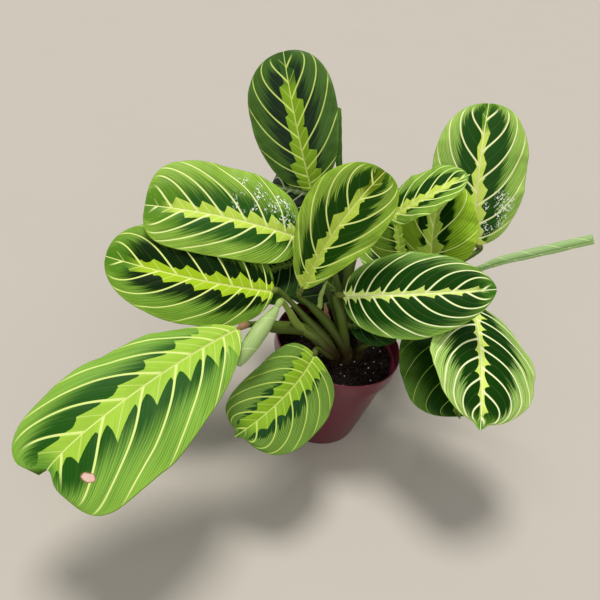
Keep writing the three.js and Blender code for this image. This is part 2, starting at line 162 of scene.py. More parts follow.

# What a leaf has where its own entry says nothing else.
#
# Shape, as on the solids: end is the share of the length where the oval ends, and the point, of
# that half width and length, goes on to the tip. cut is what a blunt tip lacks of the length,
# dent how deep its end is drawn in, and skew how far its right corner is ahead of the left one.
#
# Veins: veins counts the main veins of a half, a spread below 1 crowds them towards the base,
# stagger sets one half's against the other's, and lean is how they bow and hook to the tip.
#
# Lime band: reach is its half width at the base and at the tip, and tooth how far its teeth stand
# out. peak is where in its cell a tooth is highest, rise and drop how hollow its two sides are,
# slant how far it leans to the tip, and notch the height of the small tooth at a main vein.
# left_share is what the left half has of the right half's reach, tooth and fade.
#
# Dark green: it thins out between the two shares of the half width in fade, as unevenly as ragged
# says. tip_fade is the share of the length where the lime ends, and that where the dark ends, and
# tip_shade_green, where a leaf has it, what the lime turns to there: painted shade of a curled
# tip.
#
# streaks and veinlets are how strong the margin's stripes and its finest veins are. specks is the
# stretch of the length with pale specks on it, partly water marks and partly painted glints, and
# dry_spot where the dried oval lies.
#
# The stalk runs from its shoot through those points to the base. sheath is the radius of the
# sheath at its foot and the share of the stalk that it wraps, and brown colours its other end.
USUAL_LEAF = dict(
    bend=20, fold=0.2, droop=0.22, sweep=0, widest=0.52, root_round=2, tip_round=2.1, cup=0,
    wave=1.4, waves=3, curl=0, end=0.975, cut=0, dent=0, skew=0, point=(2.4, 0.08),
    veins=8, spread=0.62, stagger=0.45, lean=(0.9, 1.6), reach=(4, 4), tooth=4, peak=0.5,
    rise=2, drop=2, slant=0.4, notch=0.35, left_share=(1, 1, 1), fade=(0.5, 0.7), ragged=0.5,
    tip_fade=(0.9, 0.95), dark=(16, 54, 4), mid=(78, 124, 24), margin=(134, 174, 50),
    lime=(186, 214, 62), vein=(232, 244, 158), vein_width=1.3, streaks=0.6, veinlets=0.25,
    roughness=0.45, gloss=0.07,
)

# The oval of a blunt leaf runs on to the very end, and has no point.
BLUNT_END = dict(end=1, point=(0, 1))

LEAVES = [
    dict(
        name="leaf_front_left", shoot="shoot_front", base=(-75, -71, 136), tip=(-157, -195, 100),
        halves=(49, 35), face=(0, -0.35, 1), bend=22, sweep=3, widest=0.63, root_round=1.5,
        tip_round=3.8, wave=2.2, curl=4,
        stalk=[(-10, -23, 97), (-28, -21, 108), (-51, -32, 113), (-65, -46, 122)],
        sheath=(4.7, 0.78), brown=1,
        **BLUNT_END, cut=0.01, dent=6.5, skew=5,
        veins=7, lean=(1, 2.6), reach=(9.5, 5.5), tooth=5, left_share=(0.72, 2.9, 0.85),
        rise=2.1, drop=2.1, slant=1, notch=0.6, fade=(0.36, 0.76), tip_fade=(0.88, 0.93),
        dry_spot=(0.868, -0.49),
        dark=(32, 84, 16), mid=(98, 150, 48), margin=(132, 180, 58), lime=(164, 204, 66),
        vein=(222, 238, 140), vein_width=1.5, streaks=0.8,
    ),
    dict(
        name="leaf_front_low", shoot="shoot_front", base=(-18, -38, 101), tip=(-58, -118, 83),
        halves=(34, 28), face=(0.1, -0.6, 0.8), bend=30, sweep=-5, root_round=2.7, tip_round=3,
        stalk=[(-5, -26, 92)], sheath=(2.2, 0.3),
        end=0.96, point=(8, 0.09),
        veins=7.5, lean=(1, 2.4), reach=(8.5, 4.5), left_share=(1.1, 1.2, 0.94),
        rise=1.6, drop=1.6, slant=1, notch=0.6, fade=(0.34, 0.42),
        tip_fade=(0.84, 0.89),
        dark=(26, 66, 26), mid=(74, 114, 36), margin=(96, 138, 52), lime=(130, 168, 36),
        vein=(190, 214, 102), vein_width=1.1, streaks=0.9, veinlets=0.5,
    ),
    dict(
        name="leaf_left_low", shoot="shoot_front", base=(-61, -13, 130), tip=(-185, -40, 142),
        halves=(35, 42), face=(-0.1, -0.55, 0.8), bend=22, root_round=2.2, sweep=-5, widest=0.5,
        tip_round=2.2,
        stalk=[(-9, -19, 99), (-27, -16, 112)], sheath=(4.4, 0.65),
        **BLUNT_END, cut=0.018,
        veins=7, lean=(1.1, 1.8), reach=(5, 2.4), tooth=4.4, peak=0.6, rise=1.5, drop=2.2,
        slant=0.5, fade=(0.46, 0.76), ragged=0.6, tip_fade=(0.76, 0.81),
        dark=(6, 36, 1), mid=(80, 128, 26), margin=(124, 172, 44), lime=(168, 202, 34),
        vein=(230, 244, 140), vein_width=1.2, gloss=0.05,
    ),
    dict(
        name="leaf_centre", shoot="shoot_centre", base=(-40, -8, 137), tip=(-4, 29, 231),
        halves=(33, 30), face=(-0.25, -0.9, 0.3), bend=26, fold=0.3, sweep=-4, widest=0.58,
        root_round=1.4, tip_round=2.3, cup=0.7,
        stalk=[(2, -14, 98), (-14, -10, 112), (-30, -10, 124)], sheath=(3.8, 0.7),
        **BLUNT_END, cut=0.01,
        veins=6, lean=(0.9, 3), reach=(3.4, 1.4), tooth=4.6, peak=0.6, rise=1.1, drop=1.4,
        notch=0.5, slant=0.2, fade=(0.46, 0.6), ragged=0.8, tip_fade=(0.74, 0.9),
        # Its strong yellow-greens are partly painted glow of light through the blade, and the
        # green at its tip is painted shade of the curled tip.
        tip_shade_green=(96, 118, 12), dark=(22, 62, 1), mid=(70, 110, 4), margin=(136, 180, 28),
        lime=(180, 204, 74), vein=(218, 232, 132), vein_width=1.2, streaks=0.8, veinlets=0.5,
        gloss=0.06,
    ),
    dict(
        name="leaf_right_centre", shoot="shoot_centre", base=(-8, -4, 137), tip=(95, -12, 184),
        halves=(33, 34), face=(0, -0.62, 0.78), bend=18, sweep=2, widest=0.48, root_round=2.2,
        tip_round=1.65,
        stalk=[(4, -13, 100), (-5, -11, 122)], sheath=(3.8, 0.75),
        **BLUNT_END, cut=0.01,
        lean=(0.9, 2), reach=(2.6, 1), tooth=3.6, peak=0.66, rise=4.5, drop=2.4,
        notch=0.3, slant=0.9, fade=(0.58, 0.96), ragged=0.6, tip_fade=(0.84, 0.86),
        dark=(17, 62, 1), mid=(52, 106, 16), margin=(122, 168, 48), lime=(212, 232, 120),
        vein=(244, 254, 188), gloss=0.06,
    ),
    dict(
        name="leaf_right_inner", shoot="shoot_centre", base=(4, -7, 113), tip=(44, -3, 118),
        halves=(15, 15), face=(0, -0.5, 0.8), bend=24, tip_round=2.2,
        stalk=[(4, -11, 100)],
        # Its dark greens and dull veins are painted shade: it lies under leaf_right_centre.
        reach=(2, 1), tooth=1, veins=6, dark=(10, 38, 6), mid=(22, 58, 12), margin=(34, 74, 20),
        lime=(60, 94, 30), vein=(96, 124, 60), vein_width=0.5, streaks=0.2, gloss=0.06,
    ),
    dict(
        name="leaf_right_low", shoot="shoot_right", base=(73, 18, 127), tip=(100, -53, 90),
        halves=(34, 41), face=(0.1, -0.7, 0.7), bend=28, root_round=2.1, widest=0.5, tip_round=2.8,
        stalk=[(18, -11, 98), (34, -8, 112)],
        veins=7, reach=(2.5, 2), tooth=3, peak=0.6, rise=2.4, fade=(0.5, 0.9),
        # Its dark greens and dull veins are painted shade, of leaf_right_centre and
        # leaf_right_front above it.
        dark=(22, 58, 6), mid=(46, 84, 14), margin=(66, 106, 28), lime=(120, 150, 50),
        vein=(164, 190, 90), vein_width=0.6, streaks=0.4, gloss=0.08,
    ),
    dict(
        name="leaf_right_front", shoot="shoot_right", base=(93, 18, 147), tip=(107, -76, 107),
        halves=(52, 43), face=(0.28, -0.4, 0.8), bend=30, root_round=1.8, sweep=1, widest=0.54,
        tip_round=1.9,
        stalk=[(21, 1, 98), (46, 18, 122)],
        end=0.95, point=(11, 0.075),
        lean=(0.8, 2.6), reach=(3.4, 1.4), tooth=4.8, peak=0.62, rise=4, drop=2.6,
        notch=0.3, slant=0.7, fade=(0.52, 0.66), ragged=0.8, tip_fade=(0.84, 0.86),
        dark=(15, 58, 1), mid=(92, 144, 34), margin=(178, 216, 96), lime=(218, 240, 110),
        vein=(248, 255, 196), vein_width=1.4, streaks=0.8, veinlets=0.5, gloss=0.06,
    ),
    dict(
        name="leaf_back_right", shoot="shoot_right", base=(93, 79, 165), tip=(68, 132, 267),
        halves=(39, 41), face=(0.1, -0.9, 0.5), bend=24, sweep=-5, widest=0.53, tip_round=2.3,
        stalk=[(20, 3, 98), (44, 34, 130)],
        **BLUNT_END, cut=0.01,
        veins=6.5, lean=(1, 2.8), reach=(4, 0.6), tooth=4.4, rise=1, drop=1.3, slant=0.6,
        notch=0.7, fade=(0.46, 0.62), ragged=0.7, tip_fade=(0.74, 0.92),
        # Its greens and veins are partly its own and partly painted light, lighter than the leaf
        # is.
        dark=(24, 74, 2), mid=(98, 150, 28), margin=(158, 202, 74), lime=(216, 238, 100),
        vein=(250, 255, 184), vein_width=1.5, streaks=0.9, veinlets=0.4, specks=(0.05, 0.42),
        gloss=0.15,
    ),
    dict(
        name="leaf_left_high", shoot="shoot_back", base=(-53, 24, 160), tip=(-169, -9, 173),
        halves=(31, 40), face=(-0.1, -0.7, 0.75), bend=22, widest=0.6, sweep=2, root_round=3,
        tip_round=3.2,
        stalk=[(-3, 6, 102), (-10, 10, 128), (-26, 20, 148)], sheath=(3.2, 0.6),
        **BLUNT_END, cut=0.018,
        veins=7, spread=0.85, lean=(1.1, 2), reach=(2.8, 3), tooth=5.2, peak=0.9, rise=1,
        drop=1.2, slant=0.1, notch=0, fade=(0.34, 0.7), ragged=0.9, tip_fade=(0.8, 0.72),
        # Its lighter greens are partly a young leaf's own and partly painted light.
        dark=(34, 86, 12), mid=(90, 138, 24), margin=(148, 192, 54), lime=(198, 226, 80),
        vein=(240, 252, 164), vein_width=1.4, streaks=0.9, specks=(0.03, 0.5), gloss=0.14,
    ),
    dict(
        name="leaf_back_tall", shoot="shoot_back", base=(-54, 67, 181), tip=(-104, 111, 270),
        halves=(36, 35), face=(-0.1, -0.9, 0.5), bend=18, sweep=-1, widest=0.59, tip_round=2.3,
        stalk=[(-2, 8, 100), (-14, 16, 132), (-34, 44, 160)],
        **BLUNT_END, cut=0.01,
        veins=6.5, lean=(1.4, 2.2), reach=(8, 2), peak=0.88, rise=0.8, drop=1.4,
        slant=0.1, notch=0, fade=(0.36, 0.66), ragged=0.9, tip_fade=(0.72, 0.84),
        # Its greens are painted darker than the other leaves': painted shade.
        dark=(10, 40, 12), mid=(52, 92, 26), margin=(80, 120, 42), lime=(130, 170, 24),
        vein=(210, 230, 118), vein_width=1.25, streaks=0.4, veinlets=0.08, roughness=0.38,
        gloss=0.16,
    ),
    dict(
        name="leaf_right_high", shoot="shoot_back", base=(11, 58, 179), tip=(61, 62, 231),
        halves=(28, 17), face=(-0.2, -0.3, 1), bend=34, root_round=2.7, sweep=5, widest=0.57,
        tip_round=1.9,
        stalk=[(1, 9, 104), (-6, 18, 132), (-6, 34, 156)], sheath=(3.8, 0.7),
        veins=7, lean=(1.4, 2.6), reach=(3.6, 2), tooth=3.4, rise=1.8, drop=1.8,
        slant=0.8, notch=0.5, fade=(0.4, 0.5), tip_fade=(0.8, 0.85),
        dark=(18, 64, 2), mid=(88, 138, 26), margin=(140, 184, 56), lime=(204, 228, 82),
        vein=(232, 248, 156), streaks=0.9,
    ),
    dict(
        name="leaf_right_back", shoot="shoot_back", base=(59, 54, 152), tip=(49, 80, 217),
        halves=(26, 38), face=(-0.5, -0.8, 0.4), root_round=2.2, sweep=-3, fold=0.35,
        widest=0.42, tip_round=1.9,
        stalk=[(5, 10, 100), (24, 30, 122)],
        veins=4.5, lean=(3, 3.4), reach=(5, 2), tooth=6, peak=0.75, rise=1.2, drop=1.4,
        fade=(0.38, 0.48), ragged=0.4,
        # Its bright yellow-green is partly painted glow, of light through the blade from behind.
        dark=(14, 56, 2), mid=(124, 168, 14), margin=(162, 204, 44), lime=(190, 222, 84),
        vein=(236, 250, 150), vein_width=1.2, streaks=0.8, gloss=0.05,
    ),
    dict(
        name="leaf_back_inner", shoot="shoot_back", base=(36, 70, 138), tip=(10, 96, 183),
        halves=(34, 22), face=(0.5, -0.8, 0.4), fold=0.4, widest=0.5,
        stalk=[(4, 11, 100), (20, 32, 118)],
        veins=6, reach=(4, 3), tooth=3, fade=(0.3, 0.5),
        dark=(26, 66, 4), mid=(98, 142, 28), margin=(140, 180, 50), lime=(178, 214, 72),
        vein=(222, 242, 130), vein_width=1, streaks=0.8,
    ),
    dict(
        name="leaf_back_left", shoot="shoot_back", base=(-32, 90, 161), tip=(-90, 82, 166),
        halves=(22, 26), face=(-0.1, -0.8, 0.5), bend=24, sweep=3, widest=0.5, tip_round=2.5,
        stalk=[(-1, 10, 104), (-10, 40, 136)],
        # Its dark greens are painted shade, and their bluish grey cast is a painted reflection.
        reach=(2.5, 2), tooth=2, veins=7, dark=(22, 48, 30), mid=(46, 80, 50),
        margin=(84, 118, 84), lime=(120, 150, 84), vein=(224, 234, 196), roughness=0.25, gloss=0.5,
    ),
    dict(
        name="leaf_left_inner", shoot="shoot_back", base=(-45, 29, 136), tip=(-94, 2, 116),
        halves=(30, 30), face=(-0.1, -0.4, 0.9), bend=24, widest=0.5, tip_round=2.3,
        stalk=[(-4, 5, 100), (-20, 18, 122)],
        # Its dark greens and dull veins are painted shade: it lies behind leaf_left_low and
        # leaf_left_high.
        reach=(2.5, 2), tooth=2, veins=7, dark=(8, 32, 4), mid=(20, 52, 10), margin=(40, 76, 20),
        lime=(84, 112, 34), vein=(120, 146, 74), vein_width=0.7, streaks=0.3, gloss=0.06,
    ),
    dict(
        name="leaf_rear_right", shoot="shoot_back", base=(26, 66, 114), tip=(44, 154, 96),
        halves=(31, 31), face=(0, 0.1, 1), bend=36, tip_round=2.3,
        stalk=[(4, 12, 97), (14, 34, 108)],
    ),
    dict(
        name="leaf_rear_left", shoot="shoot_back", base=(2, 40, 102), tip=(-80, 90, 108),
        halves=(34, 30), face=(-0.1, -0.5, 0.85), bend=24, tip_round=2.3,
        stalk=[(6, 18, 97)],
        # Its dark greens and dull veins are painted shade.
        reach=(4, 3), tooth=3, dark=(8, 28, 6), mid=(18, 44, 12), margin=(34, 64, 20),
        lime=(56, 84, 26), vein=(104, 128, 60), vein_width=0.6, streaks=0.2, gloss=0.06,
    ),
]

# Young leaves, still rolled round their path: the radii at its start, middle and end, and the
# turns of the scroll. ribs counts the lighter lines that wind round it, from that shift on, and
# pale is how pale its stalk turns above the foot.
ROLLED_LEAVES = [
    dict(
        name="rolled_leaf_left", shoot="shoot_front", radii=(2.6, 6.4, 2.8), turns=1.2,
        path=[(-54, -46, 142), (-62, -71, 134), (-69, -89, 120)],
        stalk=[(-12, -22, 100), (-34, -24, 112), (-45, -32, 131)], sheath=(3.2, 0.7), pale=0.9,
        ribs=2, shift=0.1, deep=(140, 172, 92), pale_green=(194, 216, 146), end=(160, 190, 120),
        rib=(214, 230, 160),
    ),
    dict(
        name="rolled_leaf_right", shoot="shoot_right", radii=(2.7, 4, 4), turns=1.3,
        path=[(92, 39, 167), (106, 39, 180), (132, 40, 197), (160, 39, 217)],
        stalk=[(20, 3, 99), (48, 28, 130), (74, 38, 154)], pale=0.5,
        ribs=5, shift=0.2, deep=(140, 176, 104), pale_green=(186, 214, 150), end=(160, 196, 122),
        rib=(214, 236, 166),
    ),
    dict(
        name="rolled_leaf_back", shoot="shoot_back", radii=(3, 3.6, 3.2), turns=1.3,
        path=[(-37, 101, 192), (-45, 114, 214), (-51, 125, 232)],
        stalk=[(0, 10, 104), (-12, 44, 146), (-28, 80, 178)],
        ribs=4, shift=0, deep=(44, 84, 14), pale_green=(70, 116, 24), end=(110, 156, 34),
        rib=(96, 136, 40),
    ),
]

# Remains of old sheaths that stand on a stalk: a strip along its path, of that half width.
OLD_SHEATHS = [
    dict(
        name="dried_sheath", half_width=2.4, dark=(112, 66, 48), light=(206, 164, 136),
        path=[(-15, -10, 110.5), (-15.3, -8, 115), (-17.5, -5, 119), (-20, -1, 124)],
    ),
    dict(
        name="pale_sheath", half_width=2, dark=(122, 152, 48), light=(206, 222, 140),
        path=[(-22.5, -10.5, 116.5), (-23.5, -5, 122), (-24.5, 2, 131), (-22.6, 9, 138)],
    ),
]


# ---- Curves and meshes -------------------------------------------------------------------------

def unit(vectors):
    """Vectors of length 1: each divided by the root of its sum of squares."""
    return vectors / np.linalg.norm(vectors, axis=-1, keepdims=True)


def smooth_step(value, low, high):
    """0 below low, 1 above high, and the cubic 3w^2 - 2w^3 between them."""
    w = np.clip((value - low) / (high - low), 0, 1)
    return w * w * (3 - 2 * w)


def smooth_curve(points, u):
    """Places and directions at u, from 0 to 1, on a smooth curve through points: on each span the
    Catmull-Rom cubic of the four nearest points, with the two ends mirrored outwards."""
    points = np.asarray(points, float)
    ends = np.vstack([2 * points[0] - points[1], points, 2 * points[-1] - points[-2]])
    spans = len(points) - 1
    place = np.clip(u, 0, 1) * spans
    first = np.minimum(place.astype(int), spans - 1)
    w = (place - first)[:, None]
    before, start, end, after = (ends[first + k] for k in range(4))
    slope = end - before
    bow = 2 * before - 5 * start + 4 * end - after
    twist = 3 * start - before - 3 * end + after
    places = 0.5 * (2 * start + slope * w + bow * w ** 2 + twist * w ** 3)
    directions = 0.5 * (slope + 2 * bow * w + 3 * twist * w ** 2)
    return places, unit(directions)


def grid_quads(rows, columns, numbers=None, wrap=False):
    """The quads of a grid of rows by columns points, turned so that their normals are the
    direction of the rows' growth crossed with that of the columns'."""
    if numbers is None:
        numbers = np.arange(rows * columns).reshape(rows, columns)
    if wrap:
        numbers = np.hstack([numbers, numbers[:, :1]])
    corners = [numbers[:-1, :-1], numbers[1:, :-1], numbers[1:, 1:], numbers[:-1, 1:]]
    return np.stack(corners, -1).reshape(-1, 4)


def end_caps(sides, first, last, last_ring):
    """The triangles that close a tube: from the point numbered first to the ring that starts at
    0, and from the point numbered last to the ring that starts at last_ring."""
    here = np.arange(sides)
    following = np.roll(here, -1)
    return np.vstack([
        np.stack([np.full(sides, first), here, following], -1),
        np.stack([np.full(sides, last), last_ring + following, last_ring + here], -1),
    ])


def share_grid(rows, columns):
    """Shares along a strip, from 0 to 1, and across it, from -1 to 1, at each point of a grid."""
    return np.meshgrid(np.linspace(0, 1, rows), np.linspace(-1, 1, columns), indexing="ij")


def crowded(u, even):
    """Shares u drawn closer to 0 and to their ends at 1 and -1: even says how much of them stays
    evenly spaced, and the rest follows half a wave of a cosine."""
    return even * u + (1 - even) * np.sign(u) * (0.5 - 0.5 * np.cos(np.pi * np.abs(u)))


def new_piece(name, points, quads, triangles=None, materials=(), fields=None, slots=None):
    """A mesh object of points in millimetres. fields holds one number for each point under a
    name, and slots the number of the material of each face."""
    triangles = np.zeros((0, 3), int) if triangles is None else triangles
    mesh = bpy.data.meshes.new(name)
    corners = np.concatenate([quads.ravel(), triangles.ravel()]).astype(np.int32)
    sides = np.concatenate([np.full(len(quads), 4), np.full(len(triangles), 3)])
    starts = np.concatenate([[0], np.cumsum(sides)[:-1]]).astype(np.int32)
    mesh.vertices.add(len(points))
    mesh.vertices.foreach_set("co", (points * MM).astype(np.float32).ravel())
    mesh.loops.add(len(corners))
    mesh.loops.foreach_set("vertex_index", corners)
    mesh.polygons.add(len(sides))
    mesh.polygons.foreach_set("loop_start", starts)
    mesh.polygons.foreach_set("use_smooth", np.ones(len(sides), bool))
    for material in materials:
        mesh.materials.append(material)
    if slots is not None:
        mesh.polygons.foreach_set("material_index", slots.astype(np.int32))
    for field, values in (fields or {}).items():
        attribute = mesh.attributes.new(field, "FLOAT", "POINT")
        attribute.data.foreach_set("value", np.asarray(values, np.float32).ravel())
    mesh.update(calc_edges=True)
    piece = bpy.data.objects.new(name, mesh)
    bpy.context.scene.collection.objects.link(piece)
    return piece


def place_piece(piece, slot, *nodes):
    """Hangs the piece on its body and hides the nodes that it stands for. slot, its finish, is not
    used.
    """
    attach(piece, BODY)
    if nodes:
        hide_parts(*nodes)


def surface_normals(points):
    """The direction square to a grid: its slope across crossed with its slope along."""
    along = np.gradient(points, axis=0)
    across = np.gradient(points, axis=1)
    return unit(np.cross(across, along))


def sheet_piece(name, points, thickness, materials, fields, keel=0):
    """A thin closed leaf: two grids half a thickness above and below the surface, which share
    their points round the margin. keel is what the lower grid stands out further."""
    rows, columns = points.shape[:2]
    normals = surface_normals(points)
    upper = points + normals * (thickness / 2)[..., None]
    lower = points - normals * (thickness / 2 + keel)[..., None]
    upper[[0, -1]] = points[[0, -1]]
    upper[:, [0, -1]] = points[:, [0, -1]]
    count = rows * columns
    top = np.arange(count).reshape(rows, columns)
    under = top.copy()
    under[1:-1, 1:-1] = count + np.arange((rows - 2) * (columns - 2)).reshape(rows - 2, -1)
    above = grid_quads(rows, columns, top)[:, ::-1]
    below = grid_quads(rows, columns, under)
    every_point = np.vstack([upper.reshape(-1, 3), lower[1:-1, 1:-1].reshape(-1, 3)])
    both = {
        field: np.concatenate([values.ravel(), values[1:-1, 1:-1].ravel()])
        for field, values in fields.items()
    }
    slots = np.repeat([0, 1], [len(above), len(below)])
    return new_piece(name, every_point, np.vstack([above, below]), None, materials, both, slots)


def tube_mesh(path, radius_at, rows, sides):
    """A closed tube: rings round a smooth curve, with a point at each end. radius_at gives the
    radius for a share of the length and an angle, with 0 at the side and a quarter turn on top."""
    u = np.linspace(0, 1, rows)
    centres, along = smooth_curve(path, u)
    side = unit(np.cross(along, [0.31, 0.2, 0.93]))
    up = np.cross(side, along)
    angle = np.linspace(0, 2 * np.pi, sides, endpoint=False)
    radius = radius_at(u[:, None], angle[None, :])[..., None]
    ring = np.cos(angle)[:, None] * side[:, None] + np.sin(angle)[:, None] * up[:, None]
    points = centres[:, None] + radius * ring
    every_point = np.vstack([points.reshape(-1, 3), centres[:1], centres[-1:]])
    caps = end_caps(sides, rows * sides, rows * sides + 1, (rows - 1) * sides)
    share = np.concatenate([np.repeat(u, sides), [0, 1]])
    around = np.concatenate([np.tile(angle, rows), [0, 0]])
    return every_point, grid_quads(rows, sides, wrap=True), caps, share, around


def joined(parts):
    """Several meshes of tube_mesh as one: their points one after the other, and the corner
    numbers of each moved on by the points before it."""
    points, quads, caps, share, around = zip(*parts)
    starts = np.cumsum([0] + [len(each) for each in points[:-1]])
    quads = np.vstack([each + start for each, start in zip(quads, starts)])
    caps = np.vstack([each + start for each, start in zip(caps, starts)])
    return np.vstack(points), quads, caps, np.concatenate(share), np.concatenate(around)


def lattice_noise(x, y, size, seed):
    """Smooth random heights from -1 to 1: random numbers on a square lattice of that size,
    blended with cubic weights between its corners."""
    cells = 64
    heights = np.random.default_rng(seed).uniform(-1, 1, (cells, cells))
    column = np.floor(x / size).astype(int)
    row = np.floor(y / size).astype(int)
    across = smooth_step(x / size - column, 0, 1)
    along = smooth_step(y / size - row, 0, 1)

    def corner(i, j):
        return heights[(row + j) % cells, (column + i) % cells]

    near = corner(0, 0) * (1 - across) + corner(1, 0) * across
    far = corner(0, 1) * (1 - across) + corner(1, 1) * across
    return near * (1 - along) + far * along


# ---- Materials ---------------------------------------------------------------------------------

def linear(colour):
    """A colour given as it looks on a screen, from 0 to 255, as the light that it stands for."""
    share = np.array(colour) / 255
    light = np.where(share <= 0.04045, share / 12.92, ((share + 0.055) / 1.055) ** 2.4)
    return (*light.tolist(), 1.0)


def arithmetic(operation, swapped=False):
    """A method of Value that adds one math node, and swaps its two numbers where it should."""
    def method(value, *others):
        numbers = (*others, value) if swapped else (value, *others)
        return value.finish.math(operation, *numbers)
    return method


class Value:
    """An output in a material. Arithmetic with it adds the math nodes that work it out."""

    def __init__(self, finish, socket):
        self.finish = finish
        self.socket = socket

    __add__ = arithmetic("ADD")
    __radd__ = arithmetic("ADD", True)
    __sub__ = arithmetic("SUBTRACT")
    __rsub__ = arithmetic("SUBTRACT", True)
    __mul__ = arithmetic("MULTIPLY")
    __rmul__ = arithmetic("MULTIPLY", True)
    __rtruediv__ = arithmetic("DIVIDE", True)
    __truediv__ = arithmetic("DIVIDE")
    __pow__ = arithmetic("POWER")
    __abs__ = arithmetic("ABSOLUTE")


class Finish:
    """A material of one Principled shader, with a method for each kind of node it is made of."""

    def __init__(self, name, roughness=0.5, specular=0.5):
        self.material = bpy.data.materials.new(name)
        self.material.use_nodes = True
        self.nodes = self.material.node_tree.nodes
        self.links = self.material.node_tree.links
        self.shader = self.nodes["Principled BSDF"]
        self.shader.inputs["Roughness"].default_value = roughness
        self.shader.inputs["Specular IOR Level"].default_value = specular

    def feed(self, socket, value):
        if isinstance(value, Value):
            self.links.new(value.socket, socket)
        else:
            socket.default_value = value

    def node(self, kind, settings=None, output=0, **inputs):
        node = self.nodes.new(kind)
        for key, value in (settings or {}).items():
            setattr(node, key, value)
        for key, value in inputs.items():
            self.feed(node.inputs[key], value)
        return Value(self, node.outputs[output])

    def math(self, operation, *values):
        node = self.nodes.new("ShaderNodeMath")
        node.operation = operation
        for socket, value in zip(node.inputs, values):
            self.feed(socket, value)
        return Value(self, node.outputs[0])

    def step(self, value, low, high):
        """0 where value is below low and 1 above high, eased between them."""
        node = self.nodes.new("ShaderNodeMapRange")
        node.interpolation_type = "SMOOTHSTEP"
        for key, given in zip(("Value", "From Min", "From Max"), (value, low, high)):
            self.feed(node.inputs[key], given)
        return Value(self, node.outputs["Result"])

    def mix(self, share, first, second):
        """The first colour where share is 0, the second where it is 1, and between them else."""
        node = self.nodes.new("ShaderNodeMix")
        node.data_type = "RGBA"
        self.feed(node.inputs[0], share)
        for number, colour in ((6, first), (7, second)):
            given = colour if isinstance(colour, Value) else linear(colour)
            self.feed(node.inputs[number], given)
        return Value(self, node.outputs[2])

    def scaled(self, colour, factor):
        node = self.nodes.new("ShaderNodeVectorMath")
        node.operation = "SCALE"
        self.feed(node.inputs["Vector"], colour)
        self.feed(node.inputs["Scale"], factor)
        return Value(self, node.outputs[0])

    def field(self, name):
        node = self.nodes.new("ShaderNodeAttribute")
        node.attribute_name = name
        return Value(self, node.outputs["Fac"])

    def place(self):
        return Value(self, self.nodes.new("ShaderNodeTexCoord").outputs["Object"])

    def vector(self, x, y, z=0.0):
        return self.node("ShaderNodeCombineXYZ", X=x, Y=y, Z=z)

    def noise(self, where, scale, detail=3.0, roughness=0.5):
        return self.node(
            "ShaderNodeTexNoise", Vector=where, Scale=scale, Detail=detail, Roughness=roughness)

    def chance(self, count, half, seed):
        """A random number from 0 to 1 that is the same all over one cell of one half."""
        number = self.math("FLOOR", count) * 3.7 + half * 51.3 + seed * 17.1
        return self.node("ShaderNodeTexWhiteNoise", {"noise_dimensions": "1D"}, W=number)

    def bump(self, height, depth, strength=1.0):
        return self.node("ShaderNodeBump", Height=height, Distance=depth * MM, Strength=strength)

    def finish(self, colour, roughness=None, normal=None):
        self.feed(self.shader.inputs["Base Color"], colour)
        if roughness is not None:
            self.feed(self.shader.inputs["Roughness"], roughness)
        if normal is not None:
            self.feed(self.shader.inputs["Normal"], normal)
        return self.material


def cell_count(f, leaf, s, left, lean):
    """The count of main veins from the base up to a point, as main_veins has it on the mesh: a
    vein that starts at some share of the midrib has moved on from it by the power lean."""
    far = f.math("MAXIMUM", 1 - s, 0.0)
    start = 1 - far ** (1 / lean)
    return leaf["veins"] * start ** leaf["spread"] + leaf["stagger"] * left


def vein_lines(f, leaf):
    """The places that the blade's pattern is drawn by: the shares along and across it, which half
    a point is in, the count of main veins up to it, its distance from the midrib, its place
    between two main veins and their distance from each other."""
    s = f.field("length_share")
    t = f.field("width_share")
    side = abs(t)
    left = f.math("LESS_THAN", t, 0.0)
    bow, hook = leaf["lean"]
    count = cell_count(f, leaf, s, left, 1 + bow * side + hook * side ** 4.0)
    cell = f.math("FRACT", count)
    return s, side, left, count, f.field("rib_distance"), cell, f.field("vein_gap")


def lime_edge(f, leaf, s, side, left):
    """How far the lime band reaches from the midrib, in millimetres. In each cell between two
    main veins it has one large tooth, with a small one where the cells meet."""
    count = cell_count(f, leaf, s, left, 1 + leaf["slant"] * side)
    cell = f.math("FRACT", count)
    peak = leaf["peak"]
    base_side = (cell / peak) ** leaf["rise"]
    tip_side = ((1 - cell) / (1 - peak)) ** leaf["drop"]
    tooth = f.math("MINIMUM", f.math("MINIMUM", base_side, tip_side), 1.0)
    tooth = f.math("MAXIMUM", tooth, abs(1 - cell * 2) ** 6.0 * leaf["notch"])
    chance = f.chance(count, left, leaf["seed"])
    at_base, at_tip = leaf["reach"]
    left_reach, left_tooth, _ = leaf["left_share"]
    reach = (at_base + (at_tip - at_base) * s) * (0.85 + 0.3 * chance)
    tooth = leaf["tooth"] * (0.7 + 0.6 * chance) * (1.25 - 0.6 * s) * tooth
    return reach * (1 + (left_reach - 1) * left) + tooth * (1 + (left_tooth - 1) * left)


def marks_and_glints(f, leaf, place, s, side, left, colour):
    """Small pale specks in patches on the right half, along the stretch that specks gives: partly
    water marks and partly painted glints.
    """
    near, far = leaf["specks"]
    flecks = f.step(f.noise(place, 620.0, 2.0), 0.55, 0.58)
    patches = f.step(f.noise(place, 90.0, 2.0), 0.44, 0.52)
    region = f.step(s, near, near + 0.06) * (1 - f.step(s, far - 0.06, far)) * (1 - left)
    region = region * f.step(side, 0.12, 0.22) * (1 - f.step(side, 0.75, 0.9))
    return f.mix(flecks * patches * region * 0.95, colour, WATER_MARK_AND_GLINT)


